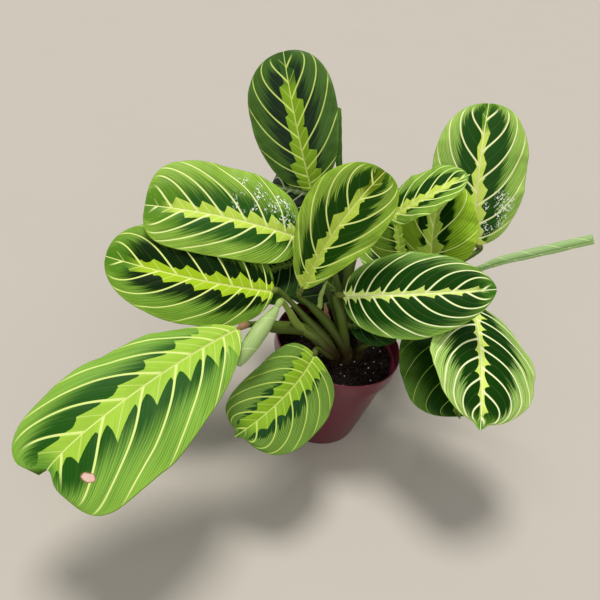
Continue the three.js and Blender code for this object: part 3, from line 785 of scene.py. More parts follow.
def dry_spot(f, leaf, place, colour):
    """A small dried oval at its place on the blade, pinkish inside a thin brown rim."""
    s, t = leaf["dry_spot"]
    (centre,), _ = blade_surface(leaf, np.array([s]), np.array([t]))
    inverse = 1 / (np.array(DRY_SPOT_SIZE) * MM)
    shifted = f.node(
        "ShaderNodeMapping", Vector=place, Location=tuple(-centre * MM * inverse),
        Scale=tuple(inverse))
    length = f.node("ShaderNodeVectorMath", {"operation": "LENGTH"}, 1, Vector=shifted)
    length = length + (f.noise(place, 500.0, 2.0) - 0.5) * 0.5
    colour = f.mix(1 - f.step(length, 0.92, 1.05), colour, DRY_RIM)
    return f.mix(1 - f.step(length, 0.7, 0.9), colour, DRY_SKIN)


def blade_material(leaf):
    """The upper side: a toothed lime band along the midrib, dark green beyond it that breaks up
    in streaks towards a lighter margin, and pale veins over both."""
    f = Finish(leaf["name"] + "_upper", leaf["roughness"], leaf["gloss"])
    s, side, left, count, rib, cell, gap = vein_lines(f, leaf)
    seed = leaf["seed"]
    place = f.place()
    broad = f.noise(place, 30.0, 2.0)
    fine = f.noise(place, 420.0, 2.0)
    chance = f.chance(count, left, seed)
    streak = f.noise(f.vector(count * 8, side * 1.5, seed * 3.1), 1.0, 3.0, 0.6)
    hair = f.noise(f.vector(count * 24, side * 2.5, seed * 1.3), 1.0, 1.0)
    edge = lime_edge(f, leaf, s, side, left) + (fine - 0.5) * 0.7
    lime_share = 1 - f.step(rib - edge, -0.2, 0.2)

    # Dark ground that thins out in streaks, and the striped green beyond it
    thin_from, thin_to = leaf["fade"]
    outward = side * (1 + (1 / leaf["left_share"][2] - 1) * left)
    ragged = (streak - 0.5) * leaf["ragged"] + (chance - 0.5) * 0.24
    fade = f.step(outward + ragged, thin_from, thin_to)
    stripes = f.step(hair + (side - 0.7) * 0.5, 0.36, 0.66) * leaf["streaks"]
    margin_share = f.math("MAXIMUM", stripes, f.step(side + (hair - 0.5) * 0.2, 0.86, 1.0))
    light = f.mix(margin_share, leaf["mid"], leaf["margin"])
    ground = f.mix(fade, leaf["dark"], light)
    uneven_s = s + (hair - 0.5) * TIP_EASE
    lime_end, dark_end = leaf["tip_fade"]
    ground = f.mix(f.step(uneven_s, dark_end, dark_end + TIP_EASE), ground, light)
    lime = f.scaled(linear(leaf["lime"])[:3], 0.8 + 0.4 * hair)
    at_end = f.step(uneven_s, lime_end, lime_end + TIP_EASE)
    # Towards the tip the lime turns to the margin's green, or, where a leaf has one, to painted
    # shade of its curled tip.
    lime = f.mix(at_end, lime, leaf.get("tip_shade_green", light))
    colour = f.scaled(f.mix(lime_share, ground, lime), 0.84 + 0.32 * broad)

    # Fine veins, the thin one in the middle of each cell, main veins and midrib
    veinlet = f.step(abs(f.math("FRACT", count * 9) - 0.5), 0.28, 0.48)
    lit = veinlet * f.step(gap, 3.0, 6.0) * (0.01 + leaf["veinlets"] * fade)
    colour = f.mix(lit, colour, leaf["vein"])
    before_tip = 1 - f.step(s, 0.92, 0.98)
    middle_vein = (1 - f.step(abs(cell - 0.5) * gap, 0.1, 0.45)) * before_tip
    colour = f.mix(middle_vein * (0.03 + 0.5 * lime_share), colour, leaf["vein"])
    half_vein = leaf["vein_width"] * 0.5 * (1.15 - 0.55 * side)
    vein_distance = f.math("MINIMUM", cell, 1 - cell) * gap
    vein = 1 - f.step(vein_distance - half_vein, -0.18, 0.18)
    vein = vein * (1 - 0.7 * f.step(side, 0.9, 1.0)) * f.step(gap, 0.6, 2.6) * before_tip
    colour = f.mix(vein, colour, leaf["vein"])
    half_rib = 0.9 - 0.55 * s
    midrib = 1 - f.step(rib - half_rib, -0.2, 0.2)
    colour = f.mix(midrib, colour, leaf["vein"])
    brown = (1 - f.step(rib, 0.12, 0.4)) * (1 - f.step(s, 0.2, 0.75)) * 0.55
    colour = f.mix(brown, colour, MIDRIB_BROWN)

    # Pale specks: partly water marks and partly painted glints.
    if "specks" in leaf:
        colour = marks_and_glints(f, leaf, place, s, side, left, colour)
    if "dry_spot" in leaf:
        colour = dry_spot(f, leaf, place, colour)
    height = veinlet * 0.25 + hair * 0.5 + fine * 0.5 - vein * 0.6 - midrib
    roughness = leaf["roughness"] + (broad - 0.5) * 0.16 + (streak - 0.5) * 0.12
    return f.finish(colour, roughness, f.bump(height, 0.12))


def underside_material(leaf):
    """The lower side: pale grey-green, duller, with raised veins a little lighter."""
    f = Finish(leaf["name"] + "_lower", 0.55, 0.3)
    _, side, _, count, rib, cell, gap = vein_lines(f, leaf)
    broad = f.noise(f.place(), 30.0, 3.0)
    hair = f.noise(f.vector(count * 20, side * 3, leaf["seed"]), 1.0, 1.0)
    at_base, at_tip = leaf["reach"]
    band = 1 - f.step(rib, at_tip, at_base + leaf["tooth"])
    colour = f.mix(band * 0.6, f.mix(broad, *UNDERSIDE_GREENS), UNDERSIDE_BAND)
    vein_distance = f.math("MINIMUM", cell, 1 - cell) * gap
    vein = (1 - f.step(vein_distance, 0.2, 0.6)) * f.step(gap, 0.6, 2.6)
    lines = f.math("MAXIMUM", vein, 1 - f.step(rib, 0.7, 1.2))
    colour = f.mix(lines * 0.7, colour, UNDERSIDE_VEIN)
    return f.finish(colour, 0.5 + 0.15 * hair, f.bump(hair * 0.4 + lines, 0.15))


def rolled_material(roll):
    """A young leaf, still rolled: waxy green with fine lines along it and lighter cross ribs."""
    f = Finish(roll["name"] + "_green", 0.42, 0.25)
    s = f.field("length_share")
    t = f.field("width_share")
    ribs = roll["ribs"]
    lines = f.noise(f.vector(t * 30, s * 2), 1.0, 2.0)
    slanted = f.math("FRACT", s * ribs - t * 0.23 * ribs + roll["shift"])
    ridge = 1 - f.step(abs(slanted - 0.5) / ribs, 0.003, 0.012)
    broad = f.noise(f.place(), 60.0, 2.0)
    colour = f.mix(lines, roll["deep"], roll["pale_green"])
    colour = f.mix(broad * 0.3, colour, roll["deep"])
    colour = f.mix(f.step(s, 0.55, 1.0) * 0.6, colour, roll["end"])
    colour = f.mix(ridge * 0.75, colour, roll["rib"])
    return f.finish(colour, 0.38 + 0.14 * lines, f.bump(lines * 0.5 + ridge, 0.15))


def stalk_material():
    """Leaf stalks: olive green with fine lines along them, reddish brown at the foot of the
    sheath, darker near the soil, partly a soil stain and partly painted shade, and paler or brown
    where a stalk swells under its blade."""
    f = Finish("stalk_green", 0.45, 0.25)
    share = f.field("length_share")
    around = f.field("turn")
    pale = f.field("pale")
    brown = f.field("brown")
    place = f.place()
    broad = f.noise(place, 70.0, 3.0)
    lines = f.noise(f.vector(around * 5, share * 3), 1.0, 2.0)
    pale = pale * f.step(share, 0.2, 0.5)
    colour = f.mix(pale, f.mix(broad, *STALK_OLIVES), f.mix(broad, *PALE_STALK_GREENS))
    colour = f.mix(lines * 0.5, colour, STALK_LINE)
    foot = 1 - f.step(share + (broad - 0.5) * 0.3, 0.05, 0.32)
    colour = f.mix(foot * (1 - pale) * 0.8, colour, STALK_FOOT)
    knee = f.step(share, 0.8, 0.88)
    colour = f.mix(knee * 0.4, colour, KNEE_GREEN)
    colour = f.mix(knee * pale * 0.8, colour, PALE_KNEE)
    colour = f.mix(knee * brown * 0.85, colour, BROWN_KNEE)
    # Darker low down near the soil: partly a soil stain, partly painted shade under the blades.
    height = f.node("ShaderNodeSeparateXYZ", None, 2, Vector=place)
    low = 1 - f.step(height, (SOIL_LEVEL + 8) * MM, (SOIL_LEVEL + 44) * MM)
    colour = f.mix(low * 0.8, colour, SOIL_STAIN_AND_SHADE)
    freckles = f.step(f.noise(place, 700.0, 2.0), 0.6, 0.7)
    colour = f.mix(freckles * 0.25, colour, STALK_FRECKLE)
    return f.finish(colour, 0.4 + 0.2 * lines, f.bump(lines + broad * 0.5, 0.2))


def pot_material():
    """Burgundy moulded plastic: a soft sheen, faint scuffs and specks of dust."""
    f = Finish("burgundy_plastic", 0.28, 0.45)
    place = f.place()
    cloud = f.noise(place, 24.0, 4.0)
    grain = f.noise(place, 1400.0, 2.0)
    scuff_place = f.node("ShaderNodeMapping", Vector=place, Scale=(60.0, 60.0, 900.0))
    scuffs = f.step(f.noise(scuff_place, 1.0, 3.0, 0.7), 0.6, 0.72)
    colour = f.mix(scuffs * 0.14, f.mix(cloud, *POT_REDS), POT_SCUFF)
    dust = f.step(f.noise(place, 500.0, 2.0), 0.66, 0.72)
    colour = f.mix(dust * 0.3, colour, POT_DUST)
    return f.finish(colour, 0.2 + 0.2 * cloud + 0.2 * scuffs, f.bump(grain * 0.4 + scuffs, 0.05))


def soil_material():
    """Moist peat, nearly black, with brown fibres and pale grit."""
    f = Finish("dark_peat", 0.9, 0.1)
    place = f.place()
    clod = f.noise(place, 260.0, 5.0, 0.7)
    fine = f.noise(place, 1500.0, 3.0)
    fibre_place = f.node("ShaderNodeMapping", Vector=place, Scale=(900.0, 160.0, 300.0))
    fibres = f.step(f.noise(fibre_place, 1.0, 2.0), 0.66, 0.72)
    colour = f.mix(fibres * 0.4, f.mix(f.step(clod, 0.3, 0.75), *PEAT_SHADES), PEAT_FIBRE)
    grit = f.step(f.noise(place, 900.0, 1.0), 0.74, 0.78)
    colour = f.mix(grit * 0.7, colour, PEAT_GRIT)
    return f.finish(colour, 0.8 + 0.15 * fine, f.bump(clod + fine * 0.4, 0.6))


def crumb_material(name, shades):
    """A crumb of bark or grit: two shades of one colour, mottled."""
    f = Finish(name, 0.85, 0.15)
    mottle = f.noise(f.place(), 900.0, 4.0, 0.65)
    return f.finish(f.mix(mottle, *shades), normal=f.bump(mottle, 0.2))


def strip_material(strip):
    """A bit of old sheath: papery, with long fibres and darker blotches."""
    f = Finish(strip["name"] + "_paper", 0.7, 0.2)
    s = f.field("length_share")
    t = f.field("width_share")
    fibres = f.noise(f.vector(t * 9, s * 1.5), 1.0, 3.0)
    blotch = f.noise(f.place(), 240.0, 3.0)
    colour = f.mix(fibres, strip["dark"], strip["light"])
    colour = f.mix(blotch * 0.5, colour, strip["dark"])
    return f.finish(colour, normal=f.bump(fibres, 0.25))


def floor_material():
    """A plain pale floor with the faintest mottling."""
    f = Finish("pale_floor", 0.9, 0.1)
    return f.finish(f.mix(f.noise(f.place(), 6.0, 3.0), *FLOOR_SHADES))


# ---- Leaves ------------------------------------------------------------------------------------

def outline(leaf, s):
    """Half the blade's width as a share of its widest: two quarter superellipses, one from the
    base and one to the tip, that meet where the blade is widest."""
    u = np.minimum(s / leaf["end"], 1)
    widest = leaf["widest"]
    near_base = u < widest
    v = np.where(near_base, (widest - u) / widest, (u - widest) / (1 - widest))
    k = np.where(near_base, leaf["root_round"], leaf["tip_round"])
    return np.maximum(1 - v ** k, 0) ** (1 / k)


def blade_frame(leaf):
    """A blade's base, the directions along, across and up from its chord, the angle through
    which its midrib bends, and the length of the arc over that chord."""
    base = np.array(leaf["base"], float)
    chord = (np.array(leaf["tip"], float) - base) * (1 - leaf["cut"])
    along = unit(chord)
    across = unit(np.cross(along, leaf["face"]))
    up = np.cross(across, along)
    bend = math.radians(leaf["bend"])
    length = np.linalg.norm(chord) * (bend / 2) / math.sin(bend / 2)
    return base, along, across, up, bend, length


def first_direction(piece):
    """The direction in which a blade or a roll sets out from its base."""
    if "path" in piece:
        return unit(np.subtract(piece["path"][1], piece["path"][0]).astype(float))
    base, along, across, up, bend, length = blade_frame(piece)
    bow = 4 * piece["sweep"] / length
    return unit(along * math.cos(bend / 2) + up * math.sin(bend / 2) + across * bow)


def main_veins(leaf, s, side):
    """Which main vein runs through a point, counted from the base: a vein leaves the midrib and
    leans towards the tip the more, the further out it is."""
    bow, hook = leaf["lean"]
    start = 1 - (1 - s) ** (1 / (1 + bow * side + hook * side ** 4))
    return leaf["veins"] * start ** leaf["spread"]


def blade_surface(leaf, s, t):
    """The middle surface at s from base to tip and t from the left margin, -1, to the right, 1.
    The midrib is an arc, each cross-section a shallow V whose sides droop by their square, and
    the margin waves by two sines. Between its main veins the blade is quilted, by the sine of
    their count, and along the midrib it has a groove. Returns the places, and how far each is
    from the midrib across the blade."""
    base, along, across, up, bend, length = blade_frame(leaf)
    side = np.abs(t)
    angle = bend / 2 - bend * s
    x = length * (math.sin(bend / 2) - np.sin(angle)) / bend
    z = length * (np.cos(angle) - math.cos(bend / 2)) / bend
    point_width, point_length = leaf["point"]
    spike = np.clip((1 - s) / point_length, 0, 1) * point_width + TIP_HALF_WIDTH
    end_width = np.where(s < 0.5, BASE_HALF_WIDTH, spike)
    half = np.where(t < 0, *leaf["halves"])
    width = ((outline(leaf, s) * half) ** 3 + end_width ** 3) ** (1 / 3)
    cup = leaf["cup"] * (1 - s) ** 3
    phase = np.where(t > 0, 1.2, 0)
    swell = np.sin(np.pi * s)
    ripple = np.sin(2 * np.pi * leaf["waves"] * s + phase) * swell
    seed = leaf["seed"]
    frill = np.sin(2 * np.pi * 7.3 * s + 2.1 * seed + 2 * phase)
    frill = frill + 0.6 * np.sin(2 * np.pi * 12.1 * s + seed)
    lift = width * ((leaf["fold"] + cup) * side - leaf["droop"] * side ** 2)
    lift = lift + leaf["wave"] * side ** 3 * ripple + FRILL_HEIGHT * side ** 4 * frill * swell
    lift = lift - leaf["curl"] * np.maximum((s - CURL_START) / (1 - CURL_START), 0) ** 2
    count = main_veins(leaf, s, side) + leaf["stagger"] * (t < 0)
    pillow = np.abs(np.sin(np.pi * count)) ** 0.7 + 0.35 * np.abs(np.sin(2 * np.pi * count))
    inside = smooth_step(side, 0.03, 0.2) * (1 - smooth_step(side, 0.75, 1))
    inside = inside * (1 - smooth_step(s, 0.85, 1))
    lift = lift + QUILT_HEIGHT * pillow * inside
    distance = side * width
    lift = lift - GROOVE_DEPTH * np.exp(-(distance / GROOVE_HALF_WIDTH) ** 2) * (1 - s)
    normal = up * np.cos(angle)[..., None] - along * np.sin(angle)[..., None]
    place = leaf["sweep"] * 4 * s * (1 - s) + width * t * (1 - 0.25 * cup * side)
    x = x - leaf["dent"] * s ** 10 * np.exp(-(width * t / DENT_HALF_WIDTH) ** 2)
    x = x + leaf["skew"] * s ** 8 * t
    points = base + along * x[..., None] + up * z[..., None]
    points = points + across * place[..., None] + normal * lift[..., None]
    return points, distance


def vein_spacing(points, count):
    """The distance between neighbouring main veins at each point: one over the steepness of
    their count on the surface, from its slopes along the grid and the grid's own lengths."""
    down, over = np.gradient(points, axis=0), np.gradient(points, axis=1)
    rise, run = np.gradient(count, axis=0), np.gradient(count, axis=1)
    down_square = (down * down).sum(-1)
    over_square = (over * over).sum(-1)
    slant = (down * over).sum(-1)
    steepness = over_square * rise ** 2 - 2 * slant * rise * run + down_square * run ** 2
    steepness = steepness / np.maximum(down_square * over_square - slant * slant, 1e-9)
    return np.clip(1 / np.sqrt(np.maximum(steepness, 1e-6)), 0.2, 30)


def build_blade(leaf):
    """The blade thins towards its margin by the sixth power of the share across it. Under the
    midrib a keel stands out by a bell curve, and falls away to the tip."""
    row = np.linspace(0, 1, BLADE_ROWS + 1)[:, None]
    column = np.linspace(-1, 1, BLADE_COLUMNS + 1)[None, :]
    s, t = np.broadcast_arrays(crowded(row, 0.35), crowded(column, 0.6))
    points, distance = blade_surface(leaf, s, t)
    gap = vein_spacing(points, main_veins(leaf, s, np.abs(t)))
    thickness = BLADE_THICKNESS * (1 - 0.5 * np.abs(t) ** 6)
    keel = KEEL_HEIGHT * np.exp(-(distance / KEEL_HALF_WIDTH) ** 2) * (1 - s) ** 0.7
    fields = dict(length_share=s, width_share=t, vein_gap=gap, rib_distance=distance)
    materials = [blade_material(leaf), underside_material(leaf)]
    blade = sheet_piece(leaf["name"] + "_blade", points, thickness, materials, fields, keel)
    place_piece(blade, "leaf_blade", leaf["name"])


def roll_surface(roll, s, t):
    """A blade rolled into a scroll round its path. The radius is a parabola through its three
    given radii, and falls by the pitch in each turn."""
    u = s[:, 0]
    centres, along = smooth_curve(roll["path"], u)
    side = unit(np.cross(along, [0, 0, 1]))
    up = np.cross(side, along)
    start, middle, end = roll["radii"]
    turned = roll["turns"] * (t + 1) / 2
    radius = start * (1 - s) * (1 - 2 * s) + middle * 4 * s * (1 - s) + end * s * (2 * s - 1)
    radius = radius - ROLL_PITCH * turned
    radius = radius + 0.1 * np.sin(2 * np.pi * (s * 4 + t))
    angle = 2 * np.pi * turned
    ring = side[:, None] * np.cos(angle)[..., None] - up[:, None] * np.sin(angle)[..., None]
    return centres[:, None] + ring * radius[..., None]


def strip_surface(strip, s, t):
    """A strip rolled to part of a tube round its path: its half width falls to nothing at the
    tip, and its edge is cut by two sines."""
    centres, along = smooth_curve(strip["path"], s[:, 0])
    side = unit(np.cross(along, [0, -1, 0.3]))[:, None]
    up = np.cross(side[:, 0], along)[:, None]
    ragged = 1 + 0.14 * np.sin(17 * s + 2 * t) + 0.08 * np.sin(41 * s)
    taper = (1 - s ** 3) ** 0.5
    width = strip["half_width"] * taper * (0.5 + 0.5 * np.sin(2.6 * s + 0.5)) * ragged + 0.1
    across = (width * np.sin(1.2 * t))[..., None]
    lift = (width * (1 - np.cos(1.2 * t)) + 0.3 * np.sin(9 * s + 3 * t))[..., None]
    return centres[:, None] + side * across + up * lift


def thin_piece(name, points, s, t, thickness, material):
    """A sheet of even thickness with one finish on both sides."""
    fields = dict(length_share=s, width_share=t)
    thick = np.full(s.shape, thickness)
    return sheet_piece(name, points, thick, [material, material], fields)


def build_roll(roll):
    s, t = share_grid(ROLL_ROWS, ROLL_COLUMNS)
    points = roll_surface(roll, s, t)
    name = roll["name"] + "_scroll"
    scroll = thin_piece(name, points, s, t, ROLL_THICKNESS, rolled_material(roll))
    place_piece(scroll, "young_leaf", roll["name"])


def build_strip(strip):
    s, t = share_grid(STRIP_ROWS, STRIP_COLUMNS)
    points = strip_surface(strip, s, t)
    piece = thin_piece(strip["name"], points, s, t, STRIP_THICKNESS, strip_material(strip))
    place_piece(piece, "leaf_stalk")


# ---- Shoots ------------------------------------------------------------------------------------

def stalk_mesh(shoot, piece):
    """A stalk from inside its stem to its blade. Its foot is a wider sheath that ends in a small
    step, its upper side has a shallow channel, and it swells near the blade."""
    direction = first_direction(piece)
    end = np.array(piece["base"] if "base" in piece else piece["path"][0], float)
    path = [
        (*shoot["root"], STEM_SHOULDER), *piece["stalk"],
        end - PULVINUS_LENGTH * direction, end + 1.5 * direction,
    ]
    sheath_radius, sheath_end = piece.get("sheath", USUAL_SHEATH)

    def radius_at(u, angle):
        v = np.maximum((u - PULVINUS_START) / (1 - PULVINUS_START), 0)
        wrapped = 1 - smooth_step(u, sheath_end - SHEATH_TAPER, sheath_end)
        lip = 1 - smooth_step(u, sheath_end - 0.1, sheath_end - 0.07)
        plain = STALK_RADIUS + (sheath_radius - STALK_RADIUS) * wrapped + 0.2 * lip
        plain = plain + (PULVINUS_RADIUS - STALK_RADIUS) * np.sin(np.pi * v) - 1.1 * v ** 4
        channel = 1 - 0.12 * np.exp(-((angle - np.pi / 2) / 0.35) ** 2) * (1 - v)
        ribs = 1 + 0.018 * np.sin(9 * angle)
        return plain * channel * ribs

    return tube_mesh(path, radius_at, STALK_RINGS, STALK_SIDES)


def stem_mesh(shoot):
    """A stem wrapped in sheaths: straight in the soil, tapering above it, with long folds."""
    x, y = shoot["root"]
    heights = [STEM_BOTTOM, STEM_SHOULDER - 8, STEM_SHOULDER + 2, shoot["top"]]
    path = [(x, y, height) for height in heights]

    def radius_at(u, angle):
        height = STEM_BOTTOM + u * (shoot["top"] - STEM_BOTTOM)
        taper = 1 - 0.65 * smooth_step(height, STEM_SHOULDER, shoot["top"])
        folds = 1 + 0.04 * np.sin(5 * angle) + 0.02 * np.sin(11 * angle)
        return shoot["radius"] * taper * folds

    points, quads, caps, share, around = tube_mesh(path, radius_at, STEM_RINGS, STEM_SIDES)
    return points, quads, caps, share * 0.1, around


def build_shoot(shoot, material):
    """A stem and the stalks of every leaf on it, as one mesh. Each stalk hands its own pale
    and brown shares to all of its points."""
    carried = [piece for piece in LEAVES + ROLLED_LEAVES if piece["shoot"] == shoot["name"]]
    parts = [stem_mesh(shoot)] + [stalk_mesh(shoot, piece) for piece in carried]
    points, quads, caps, share, around = joined(parts)
    counts = [len(part[0]) for part in parts]
    fields = dict(length_share=share, turn=around)
    for tone in ("pale", "brown"):
        fields[tone] = np.repeat([0] + [piece.get(tone, 0) for piece in carried], counts)
    stalks = new_piece(shoot["name"] + "_stalks", points, quads, caps, [material], fields)
    place_piece(stalks, "leaf_stalk", shoot["name"])


# ---- Pot and soil ------------------------------------------------------------------------------

def turned_mesh(profile, segments):
    """A solid of revolution from (radius, height) points that start and end on the axis. Its
    first corner is a little off the X axis, so that no drain hole meets the floor's seams."""
    profile = np.array(profile, float)
    ring = profile[1:-1]
    angle = TURN_START + np.linspace(0, 2 * np.pi, segments, endpoint=False)
    x = ring[:, :1] * np.cos(angle)
    y = ring[:, :1] * np.sin(angle)
    z = np.broadcast_to(ring[:, 1:], x.shape)
    rings = np.stack([x, y, z], -1).reshape(-1, 3)
    points = np.vstack([rings, [0, 0, profile[0, 1]], [0, 0, profile[-1, 1]]])
    quads = grid_quads(len(ring), segments, wrap=True)[:, ::-1]
    caps = end_caps(segments, len(rings), len(rings) + 1, len(rings) - segments)[:, [0, 2, 1]]
    return points, quads, caps


def pot_profile():
    """The pot's outline: from the middle of its underside up the wall, round the rim and down
    the inside to the middle of its floor."""
    shoulder = POT_HEIGHT - RIM_DEPTH
    inner = RIM_RADIUS - POT_WALL
    return [
        (0, 0), (BASE_RADIUS - 3, 0), (BASE_RADIUS - 1.5, 0), (BASE_RADIUS - 0.4, 0.5),
        (BASE_RADIUS, 1.5), (NECK_RADIUS - 0.3, shoulder - 1.4), (NECK_RADIUS, shoulder),
        (RIM_RADIUS - 0.9, shoulder), (RIM_RADIUS - 0.5, shoulder + 0.2),
        (RIM_RADIUS - 0.4, shoulder + 0.7), (RIM_RADIUS - 0.3, POT_HEIGHT - 2.6),
        (RIM_RADIUS - 0.1, POT_HEIGHT - 2), (RIM_RADIUS, POT_HEIGHT - 1.4),
        (RIM_RADIUS - 0.05, POT_HEIGHT - 0.5), (RIM_RADIUS - 0.4, POT_HEIGHT - 0.05),
        (RIM_RADIUS - 0.7, POT_HEIGHT), (inner + 0.2, POT_HEIGHT - 0.1), (inner, POT_HEIGHT - 0.5),
        (inner - 0.5, shoulder + 1.5), (NECK_RADIUS - POT_WALL, shoulder - 1),
        (BASE_RADIUS - POT_WALL, POT_FLOOR), (0, POT_FLOOR),
    ]


def build_pot():
    """The pot's profile turned round its axis, with its drain holes cut out of the floor."""
    points, quads, caps = turned_mesh(pot_profile(), POT_SEGMENTS)
    pot = new_piece("pot_shell", points, quads, caps, [pot_material()])
    angle = 2 * np.pi * np.arange(DRAIN_HOLES) / DRAIN_HOLES
    drill_profile = [(0, -4), (DRAIN_RADIUS, -4), (DRAIN_RADIUS, 6), (0, 6)]
    hole, hole_quads, hole_caps = turned_mesh(drill_profile, DRILL_SEGMENTS)
    nothing = np.zeros(1)
    drills = [
        (hole + [x, y, 0], hole_quads, hole_caps, nothing, nothing)
        for x, y in zip(DRAIN_CIRCLE * np.cos(angle), DRAIN_CIRCLE * np.sin(angle))
    ]
    drill = new_piece("drain_drill", *joined(drills)[:3])
    cut = pot.modifiers.new("drain_holes", "BOOLEAN")
    cut.operation = "DIFFERENCE"
    cut.object = drill
    bpy.context.view_layer.update()
    shaped = pot.evaluated_get(bpy.context.evaluated_depsgraph_get())
    shaped = bpy.data.meshes.new_from_object(shaped)
    pot.modifiers.clear()
    pot.data = shaped
    bpy.data.objects.remove(drill)
    shaped.set_sharp_from_angle(angle=math.radians(SHARP_EDGE))
    place_piece(pot, "pot_plastic", "pot")


def soil_height(x, y):
    """Low clumps of three sines as on the solid, with random clods of three sizes on them."""
    clumps = np.sin(x * 0.31 + 0.7) * np.cos(y * 0.27) + 0.6 * np.sin(x * 0.13 - y * 0.55)
    calm = np.minimum(np.hypot(x, y) / 40, 1)
    clods = sum(
        height * lattice_noise(x, y, size, number + 1)
        for number, (size, height) in enumerate(CLODS))
    return SOIL_LEVEL + 0.9 * clumps * (0.25 + 0.75 * calm) - 0.6 * calm + clods * 0.8


def build_soil():
    """A round heap in polar rings: its top follows soil_height and its wall runs down inside the
    pot to a flat floor."""
    radius = np.linspace(0.6, SOIL_RADIUS, SOIL_RINGS)
    angle = np.linspace(0, 2 * np.pi, SOIL_SEGMENTS, endpoint=False)
    x = radius[:, None] * np.cos(angle)
    y = radius[:, None] * np.sin(angle)
    z = soil_height(x, y) - 1.5 * smooth_step(radius, SOIL_RADIUS - 5, SOIL_RADIUS)[:, None]
    bottom = POT_FLOOR + 0.4
    wall = [
        (SOIL_RADIUS + 0.05, SOIL_LEVEL - 4), (46, 70), (BASE_RADIUS - POT_WALL - 0.5, bottom),
    ]
    sides = [
        np.stack([r * np.cos(angle), r * np.sin(angle), np.full(SOIL_SEGMENTS, height)], -1)
        for r, height in wall
    ]
    rings = np.concatenate([np.stack([x, y, z], -1), np.array(sides)])
    count = len(rings)
    points = np.vstack([rings.reshape(-1, 3), [0, 0, z[0].mean()], [0, 0, bottom]])
    quads = grid_quads(count, SOIL_SEGMENTS, wrap=True)
    last_point = count * SOIL_SEGMENTS
    caps = end_caps(SOIL_SEGMENTS, last_point, last_point + 1, last_point - SOIL_SEGMENTS)
    soil = new_piece("soil_heap", points, quads, caps, [soil_material()])
    place_piece(soil, "potting_soil", "soil")


def turn_lumps(x, y, angle):
    """Two coordinates of many lumps, each lump turned by its own angle."""
    cosine, sine = np.cos(angle)[:, None], np.sin(angle)[:, None]
    return x * cosine - y * sine, x * sine + y * cosine


def crumb_shape(count, size, seed):
    """Many small lumps on the soil: each a ball of four rings of six points, stretched and
    turned at random and half sunk in."""
    rng = np.random.default_rng(seed)
    rows, sides = CRUMB_RINGS, CRUMB_SIDES
    tilt = np.linspace(0.6, np.pi - 0.6, rows)
    angle = np.linspace(0, 2 * np.pi, sides, endpoint=False)
    ball = np.stack([
        np.sin(tilt)[:, None] * np.cos(angle), np.sin(tilt)[:, None] * np.sin(angle),
        np.broadcast_to(np.cos(tilt)[:, None], (rows, sides)),
    ], -1).reshape(-1, 3)
    ball = np.vstack([ball, [0, 0, 1], [0, 0, -1]])
    low, high = size
    scale = rng.uniform(low, high, (count, 1, 1)) * rng.uniform(0.5, 1.5, (count, 1, 3))
    lumps = ball[None] * scale * rng.uniform(0.75, 1.2, (count, len(ball), 1))
    turn = rng.uniform(0, 2 * np.pi, count)
    lean = rng.uniform(-0.6, 0.6, count)
    x, z = turn_lumps(lumps[..., 0], lumps[..., 2], lean)
    x, y = turn_lumps(x, lumps[..., 1], turn)
    lumps = np.stack([x, y, z], -1)
    radius = (SOIL_RADIUS - 2.5) * np.sqrt(rng.uniform(0, 1, count))
    around = rng.uniform(0, 2 * np.pi, count)
    x, y = radius * np.cos(around), radius * np.sin(around)
    centre = np.stack([x, y, soil_height(x, y) + 0.2], -1)
    points = (lumps + centre[:, None]).reshape(-1, 3)
    quads = grid_quads(rows, sides, wrap=True)
    caps = end_caps(sides, rows * sides, rows * sides + 1, (rows - 1) * sides)
    starts = (np.arange(count) * len(ball))[:, None, None]
    return points, (quads[None] + starts).reshape(-1, 4), (caps[None] + starts).reshape(-1, 3)


def build_crumbs(name, shades, count, size, seed):
    """Loose crumbs that lie on the soil and belong to it."""
    points, quads, caps = crumb_shape(count, size, seed)
    crumbs = new_piece(name, points, quads, caps, [crumb_material(name, shades)])
    place_piece(crumbs, "potting_soil")


# ---- Floor, light and camera -------------------------------------------------------------------

def build_floor():
    corners = FLOOR_REACH * np.array([[-1.0, -1, 0], [1, -1, 0], [1, 1, 0], [-1, 1, 0]])
    floor = new_piece("studio_floor", corners, np.arange(4)[None], None, [floor_material()])


def add_sun(name, energy, softness, turn, gloss):
    """A distant light, its turn given in degrees. softness is how wide it looks, in degrees."""
    light = bpy.data.lights.new(name, "SUN")
    light.energy = energy
    light.angle = math.radians(softness)
    light.color = LIGHT_COLOUR
    light.specular_factor = gloss
    lamp = bpy.data.objects.new(name, light)
    lamp.rotation_euler = [math.radians(angle) for angle in turn]
    bpy.context.scene.collection.objects.link(lamp)


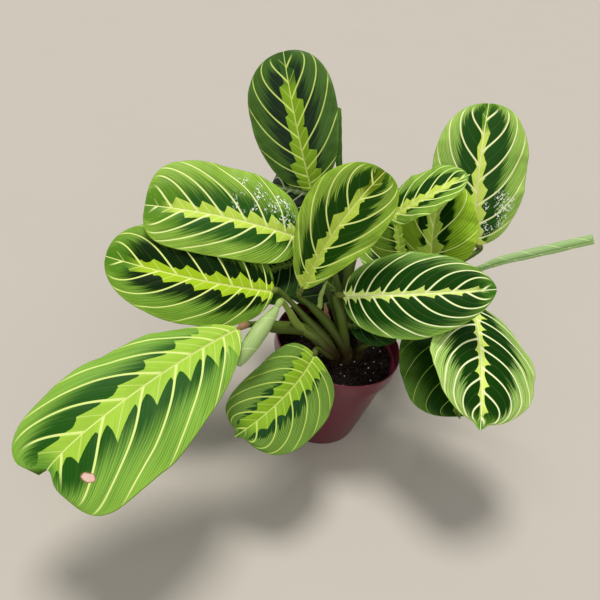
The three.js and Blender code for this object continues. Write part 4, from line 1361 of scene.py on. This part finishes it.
def build_light():
    """A high soft key light, a wide weak one from the front, and an even pale surrounding."""
    add_sun("key_light", energy=2.25, softness=20, turn=(-12, -12, 0), gloss=1)
    add_sun("front_light", energy=1.0, softness=80, turn=(50, 0, 0), gloss=0)
    world = bpy.data.worlds.new("pale_studio")
    bpy.context.scene.world = world
    world.use_nodes = True
    background = world.node_tree.nodes["Background"]
    background.inputs["Color"].default_value = SURROUNDING_COLOUR
    background.inputs["Strength"].default_value = SURROUNDING_STRENGTH
    bpy.context.scene.view_settings.view_transform = "Standard"


def build_camera():
    """The photograph's view. back points from the scene to the camera, and right and up are the
    picture's own directions, leaned by the roll."""
    pitch, roll = math.radians(CAMERA_PITCH), math.radians(CAMERA_ROLL)
    back = np.array([0, -math.cos(pitch), math.sin(pitch)])
    level = np.array([1.0, 0, 0])
    steep = np.cross(back, level)
    right = math.cos(roll) * level + math.sin(roll) * steep
    up = math.cos(roll) * steep - math.sin(roll) * level
    rim_middle = np.array([0, 0, POT_HEIGHT])
    place = rim_middle + back * CAMERA_DISTANCE - right * CAMERA_OFFSET[0] - up * CAMERA_OFFSET[1]
    lens = bpy.data.cameras.new("photo_camera")
    lens.sensor_width = SENSOR_WIDTH
    lens.lens = FOCAL_PIXELS / PICTURE_PIXELS * SENSOR_WIDTH
    lens.clip_start = 0.01
    camera = bpy.data.objects.new("photo_camera", lens)
    matrix = np.eye(4)
    matrix[:3, 0], matrix[:3, 1], matrix[:3, 2], matrix[:3, 3] = right, up, back, place * MM
    camera.matrix_world = Matrix(matrix.tolist())
    bpy.context.scene.collection.objects.link(camera)
    bpy.context.scene.camera = camera


build_camera()
build_light()
build_floor()
build_pot()
build_soil()
build_crumbs("bark_crumbs", BARK_SHADES, count=900, size=(0.5, 1.5), seed=11)
build_crumbs("pale_grit", GRIT_SHADES, count=46, size=(0.35, 0.9), seed=12)
for number, leaf in enumerate(LEAVES):
    for key, value in {**USUAL_LEAF, "seed": number + 1}.items():
        leaf.setdefault(key, value)
    build_blade(leaf)
for roll in ROLLED_LEAVES:
    build_roll(roll)
for strip in OLD_SHEATHS:
    build_strip(strip)
stalk_green = stalk_material()
for shoot in SHOOTS:
    build_shoot(shoot, stalk_green)
